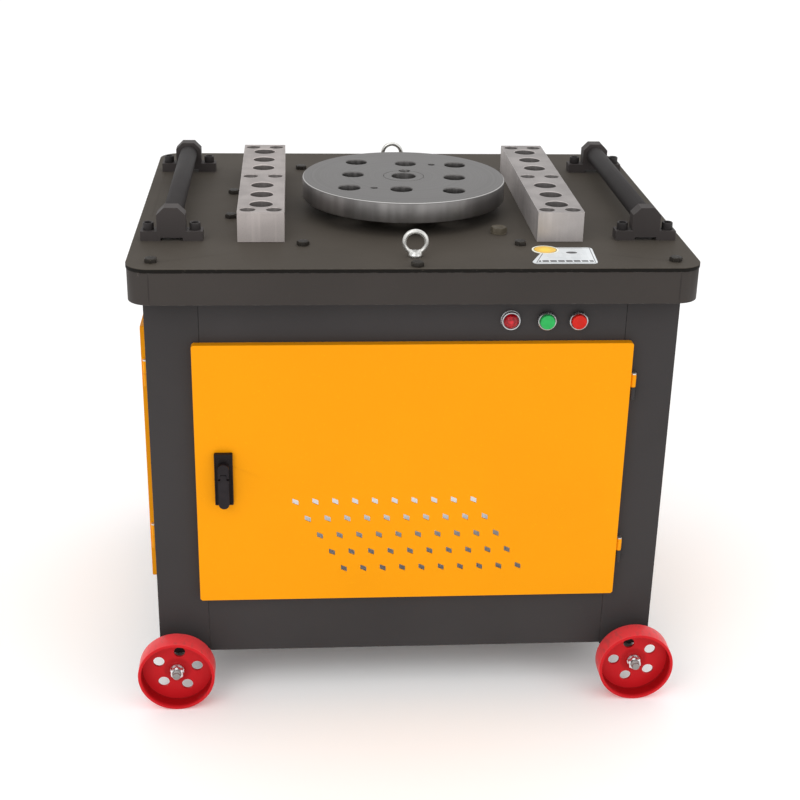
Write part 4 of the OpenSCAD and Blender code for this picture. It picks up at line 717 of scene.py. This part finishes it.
lens = bmesh.new()
turn(lens, [(0, 0.0012), (0.0119, 0.0012), (0.0119, 0.0066), (0.0114, 0.0078, facet),
            (0.0096, 0.0098, facet), (0.0062, 0.0112, facet), (0.0030, 0.0116, facet), (0, 0.0118)],
     lamp_place, steps=48)
lens_red = Finish("lamp_red", Coat_Weight=0.3, Coat_Roughness=0.08, Specular_IOR_Level=0.25)
lens_spot = lens_red.away((lamp_x, 0, controls_z), (1, 0, 1))
lens_cloud = lens_red.noise(0.004, 2).between(0.4, 0.6)
lens_tint = lens_red.blend(colour(128, 0, 14), colour(176, 8, 22), lens_cloud)
lens_red.give(Base_Color=lens_red.blend(colour(208, 34, 46), lens_tint, lens_spot.between(0.001, 0.005)))
lens_red.give(Roughness=0.15 + lens_red.noise(0.003, 2) * 0.1)
lens_red.relief(lens_spot.wave(0.002), 0.00008)
piece("lamp_faceted_lens", lens, lens_red, "frame", "red_lens", "lamp_lens", smooth=10)

button_xs = [(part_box(cap)[0][0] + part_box(cap)[1][0]) / 2 for cap in ("start_cap", "stop_cap")]
rings = bmesh.new()
for x in button_xs:
    place = Matrix.Translation((x, rail_face, controls_z)) @ outwards
    turn(rings, [(0.0034, 0.001), (0.0124, 0.001), (0.0124, 0.0090), (0.0129, 0.0098), (0.0140, 0.0100),
                 (0.0149, 0.0092), (0.0150, 0.0080), (0.0150, 0.0008), (0.0147, 0), (0.0034, 0),
                 (0.0034, 0.001)], place, steps=72)
    control_back(rings, place)
piece("button_rings", rings, chrome, "frame", "zinc", "button_bodies")


def gloss_plastic(name, tone, rough=0.28):
    finish = Finish(name, Coat_Weight=0.08, Specular_IOR_Level=0.2)
    cloud = finish.noise(0.01, 2).between(0.3, 0.7)
    finish.give(Base_Color=finish.blend(colour(*tone, 0.78), colour(*tone, 0.9), cloud))
    finish.give(Roughness=rough + finish.noise(0.004, 2) * 0.1)
    finish.relief(finish.noise(0.0012, 2), 0.00002)
    return finish


for label, x, tone in zip(("start", "stop"), button_xs, ((46, 186, 92), (214, 28, 8))):
    cap = bmesh.new()
    turn(cap, [(0, -0.008), (0.003, -0.008), (0.003, 0.006), (0.0115, 0.006), (0.0119, 0.0064),
               (0.0119, 0.0132), (0.0114, 0.0139), (0.0106, 0.0140), (0.0100, 0.0136), (0.0060, 0.0132),
               (0, 0.0131)],
         Matrix.Translation((x, rail_face, controls_z)) @ outwards, steps=64)
    piece(f"{label}_button_cap", cap, gloss_plastic(f"{label}_cap_plastic", tone), f"{label}_button",
          "green_cap" if label == "start" else "red_cap", f"{label}_cap")


# ---- Door latches: a black moulded base with a raised rim and two screw dents, and a die-cast hub
# and lever in the same black, a little lighter where hands rub them.
def moulded_black(name, tone, rough):
    finish = Finish(name, Specular_IOR_Level=0.2)
    rubbed = finish.noise(0.02, 3).between(0.4, 0.75)
    tint = finish.blend(colour(*tone, 0.75), colour(*tone, 1.15), rubbed)
    finish.give(Base_Color=finish.blend(tint, colour(*tone, 2.2), finish.edges(0.0008) * 0.5))
    finish.give(Roughness=rough + finish.noise(0.0012, 2) * 0.18 - rubbed * 0.06)
    finish.relief(finish.noise(0.0007, 2), 0.00003)
    return finish


base_black = moulded_black("latch_base_black", (24, 18, 19), 0.48)
lever_black = moulded_black("latch_lever_black", (30, 24, 27), 0.40)
dress(lever_black, 0.0013, "front_latch_lever", "side_latch_lever", segments=3)
dress(lever_black, 0.0008, "front_latch_hub", "side_latch_hub")
rim = 0.0026
for door, facing in (("front", outwards), ("side", Matrix.Rotation(-math.pi / 2, 4, "Z") @ outwards)):
    low, high = (Vector(corner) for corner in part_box(f"{door}_latch_base"))
    middle = (low + high) / 2
    deep = min(high.x - low.x, high.y - low.y)
    wide = max(high.x - low.x, high.y - low.y)
    tall = high.z - low.z
    place = Matrix.Translation(middle) @ facing
    base = bmesh.new()
    block = bmesh.ops.create_cube(base, size=1, matrix=place @ Matrix.Diagonal((wide, tall, deep, 1)))
    outward = place.to_3x3() @ Vector((0, 0, 1))
    front = max(base.faces, key=lambda face: face.calc_center_median().dot(outward))
    bmesh.ops.inset_region(base, faces=[front], thickness=rim, depth=0)
    bmesh.ops.inset_region(base, faces=[front], thickness=0.0008, depth=-0.0012)
    outer = [edge for edge in base.edges if edge.is_manifold and edge.calc_face_angle(0) > 1.2]
    bmesh.ops.bevel(base, geom=outer, offset=0.0007, segments=2, affect="EDGES")
    for s in (-1, 1):
        dent = place @ Matrix.Translation((s * wide * 0.27, tall / 2 - 0.009, deep / 2 - 0.0013))
        turn(base, [(0, 0), (0.0026, 0), (0.0026, 0.0005), (0.0021, 0.0009), (0.0015, 0.0004), (0, 0.0003)],
             dent, 32)
    piece(f"{door}_latch_moulding", base, base_black, f"{door}_door", "latch_plastic", f"{door}_latch_base")


# ---- Data plate: a thin printed plate glued to the table, with a plain border, a dark band of blank
# fields along its front, pale ruled lines, and a yellow seal at its back left corner.
plate_low = Vector(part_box("data_plate")[0])
print_finish = Finish("plate_print", Coat_Weight=0.4)
seal_radius = 0.0215
seal_middle = (0.212, -0.276, 0)
left_lean = (0.212 - 0.182) / (0.264 - 0.348)
right_lean = (0.2895 - 0.285) / (0.265 - 0.348)
from_front = print_finish.y - plate_low.y
from_back = (-0.2645) - print_finish.y
from_left = print_finish.x - 0.182 + from_front * left_lean
from_right = 0.285 - print_finish.x - from_front * right_lean
inside = from_front.least(from_back).least(from_left).least(from_right)
border = inside.near(0.0042, 0.0013)
band = from_front.near(0.0118, 0.0080) * (print_finish.x.wave(0.0125)).between(-0.92, -0.8)
band = band * inside.between(0.0062, 0.0066)
rules = print_finish.y.wave(0.0068).between(0.86, 0.95) * inside.between(0.012, 0.0125) * 0.6
rules = rules * print_finish.noise(0.012, 1, stretch=(1, 0.2, 1)).between(0.42, 0.46)
panel_mark = print_finish.away((0.252, -0.292, 0), (1, 1.7, 0)).between(0.0088, 0.0092)
seal_away = print_finish.away(seal_middle, (1, 1, 0))
tint = print_finish.blend(colour(206, 211, 215), colour(224, 227, 228), print_finish.noise(0.03, 3))
tint = print_finish.blend(tint, colour(60, 62, 66), border)
tint = print_finish.blend(tint, colour(36, 38, 42), band)
tint = print_finish.blend(tint, colour(120, 126, 130), rules)
tint = print_finish.blend(colour(52, 54, 58), tint, panel_mark)
seal_tint = print_finish.blend(colour(248, 214, 60), colour(236, 170, 50),
                               seal_away.between(0.006, 0.012) * print_finish.noise(0.006, 2))
seal_tint = print_finish.blend(seal_tint, colour(70, 66, 48), seal_away.near(0.0182, 0.0011))
seal_tint = print_finish.blend(seal_tint, colour(246, 244, 226), seal_away.between(0.0187, 0.0189))
off_seal = seal_away.between(seal_radius, seal_radius + 0.0002)
print_finish.give(Base_Color=print_finish.blend(seal_tint, tint, off_seal))
print_finish.give(Roughness=0.3 + print_finish.noise(0.01, 2) * 0.15)
print_finish.relief(print_finish.noise(0.006, 2), 0.00002)
dress(print_finish, 0.0002, "data_plate")


# ---- Wheels: pressed steel with a dished web, dipped in gloss red paint, the tread scuffed grey
# by the floor. They run on turned bars, and a washer and a nut keep each one on.
wheel_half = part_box("wheel_front_left")[1][2] / 2
for end in ("front", "rear"):
    for side in ("left", "right"):
        name = f"wheel_{end}_{side}"
        low, high = (Vector(corner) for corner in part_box(name))
        hub = (low + high) / 2
        red = sprayed_paint(f"{name}_paint", (222, 32, 40), 0.3, 0.4, (232, 110, 110), cloud=0.04,
                            shade=0.76)
        painted = Value(red, red.shader.inputs["Base Color"].links[0].from_socket)
        reach = red.away(hub, (1, 0, 1))
        tread = reach.between(wheel_half - 0.0007, wheel_half - 0.0003)
        scuffs = tread * red.noise(0.009, 4, stretch=(1, 0.5, 1)).between(0.5, 0.7)
        sunk = red.y - low.y if end == "front" else high.y - red.y
        # The inner wall of the rim is painted darker, more so deeper in: painted shade.
        painted_wall_shade = reach.between(wheel_half - 0.0066, wheel_half - 0.0054)
        painted_wall_shade = painted_wall_shade * sunk.between(0.0015, 0.009) * (1 - tread)
        # The web is painted darker towards the hub: painted shade.
        painted_hub_shade = (1 - reach.between(0.019, 0.026)) * 0.35
        painted_shading = red.blend(painted, colour(120, 8, 12), painted_hub_shade)
        painted_shading = red.blend(painted_shading, colour(138, 6, 10), painted_wall_shade * 0.8)
        # The tread is painted lighter: a painted highlight of the light falling on it.
        painted_shading = red.blend(painted_shading, colour(250, 84, 88), tread * 0.55)
        red.give(Base_Color=red.blend(painted_shading, colour(120, 84, 80), scuffs * 0.3))
        dress(red, 0.0006, name)

steel_bar = milled_steel("turned_bar_steel", (150, 148, 146), 0.4)
bars = bmesh.new()
bar_low, bar_high = (Vector(corner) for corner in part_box("axles"))
bar_r = 0.010
journal_r = 0.008
thread_r = 0.007
hub_gap = 0.0005
journal_end = min(abs(low.y) for low, high in solids_of("wheel_nuts") if low.y > 0)
journal_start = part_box("wheel_rear_left")[0][1] - hub_gap
half_bar = thread(thread_r, -bar_high.y, -journal_end, 0.002)
half_bar += [(journal_r, -journal_end), (journal_r, -journal_start), (bar_r - 0.0005, -journal_start),
             (bar_r, 0.0005 - journal_start)]
whole_bar = half_bar + [(radius, -along) for radius, along in reversed(half_bar)]
for x in (bar_low.x + bar_r, bar_high.x - bar_r):
    turn(bars, whole_bar, Matrix.Translation((x, 0, wheel_half)) @ outwards, steps=40)
piece("axle_bars", bars, steel_bar, "frame", "machined_steel", "axles")

nuts = bmesh.new()
for number, (low, high) in enumerate(solids_of("wheel_nuts")):
    middle = (low + high) / 2
    thick = high.y - low.y
    out = -1 if middle.y < 0 else 1
    spot = Matrix.Translation((middle.x, high.y if out < 0 else low.y, middle.z))
    spot = spot @ Matrix.Rotation(-out * math.pi / 2, 4, "X") @ Matrix.Rotation(number * 1.1, 4, "Z")
    if thick < 0.005:
        turn(nuts, [(0.0074, 0), (0.0117, 0), (0.012, 0.0004), (0.012, thick - 0.0004), (0.0117, thick),
                    (0.0074, thick), (0.0074, 0)], spot)
    else:
        hexagon_nut(nuts, spot, 0.021, thick, 0.0071)
nut_zinc = bright_zinc("nut_zinc", (226, 226, 228), 0.2)
piece("wheel_nuts_and_washers", nuts, nut_zinc, "frame", "zinc", "wheel_nuts")


# ---- Cable gland: a black moulded gland with a ribbed dome nut, through the rear rail, and its
# lock nut inside.
gland_low, gland_high = (Vector(corner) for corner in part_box("cable_gland"))
gland_middle = (gland_low + gland_high) / 2
gland_place = Matrix.Translation((gland_middle.x, gland_high.y - 0.020, gland_middle.z))
gland_place = gland_place @ Matrix.Rotation(-math.pi / 2, 4, "X")
gland = bmesh.new()
gland_hexagon = six_sided(0.0275)
ribs = knurled(18, 0.0012)
turn(gland, [(0.0055, -0.014), (0.0092, -0.014), (0.0100, -0.0128), (0.0100, 0), (0.0130, 0),
             (0.0158, 0.0006, gland_hexagon), (0.0158, 0.0062, gland_hexagon), (0.0130, 0.0070),
             (0.0118, 0.0072), (0.0118, 0.0082), (0.0132, 0.0086, ribs), (0.0130, 0.0140, ribs),
             (0.0112, 0.0178), (0.0092, 0.0198), (0.0074, 0.0200), (0.0058, 0.0188), (0.0055, 0.0175),
             (0.0055, -0.014)], gland_place, steps=72)
hexagon_nut(gland, gland_place @ Matrix.Translation((0, 0, -0.0095)), 0.0275, 0.005, 0.0101)
piece("ribbed_cable_gland", gland, base_black, "frame", "latch_plastic", "cable_gland")


# ---- Drive: iron castings painted grey-green, with oiled gears and shafts inside, and the motor
# hanging below with its fan, sheet cover and terminal box.
casting_paint = sprayed_paint("casting_paint", (84, 94, 96), 0.5, 0.6, cloud=0.08, peel=0.0001)
dress(casting_paint, 0.0012, "gearbox_housing", "gearbox_cover", "motor_housing")
dress(casting_paint, 0.0006, "fan_cover", "terminal_box")
oiled_steel = milled_steel("oiled_gear_steel", (120, 116, 110))
dress(oiled_steel, 0, "main_gear", "second_gear", "first_gear", "second_shaft", "first_shaft", "motor_rotor")
dress(steel_bar, 0.0004, "shaft_bearings", "motor_stator")
dress(base_black, 0.0004, "motor_fan")


# ---- Control box: a small enamelled steel box on the right panel, with a lid.
box_enamel = sprayed_paint("box_enamel", (206, 206, 200), 0.4, 0.3, (150, 146, 140), cloud=0.03)
dress(box_enamel, 0.0006, "control_box")
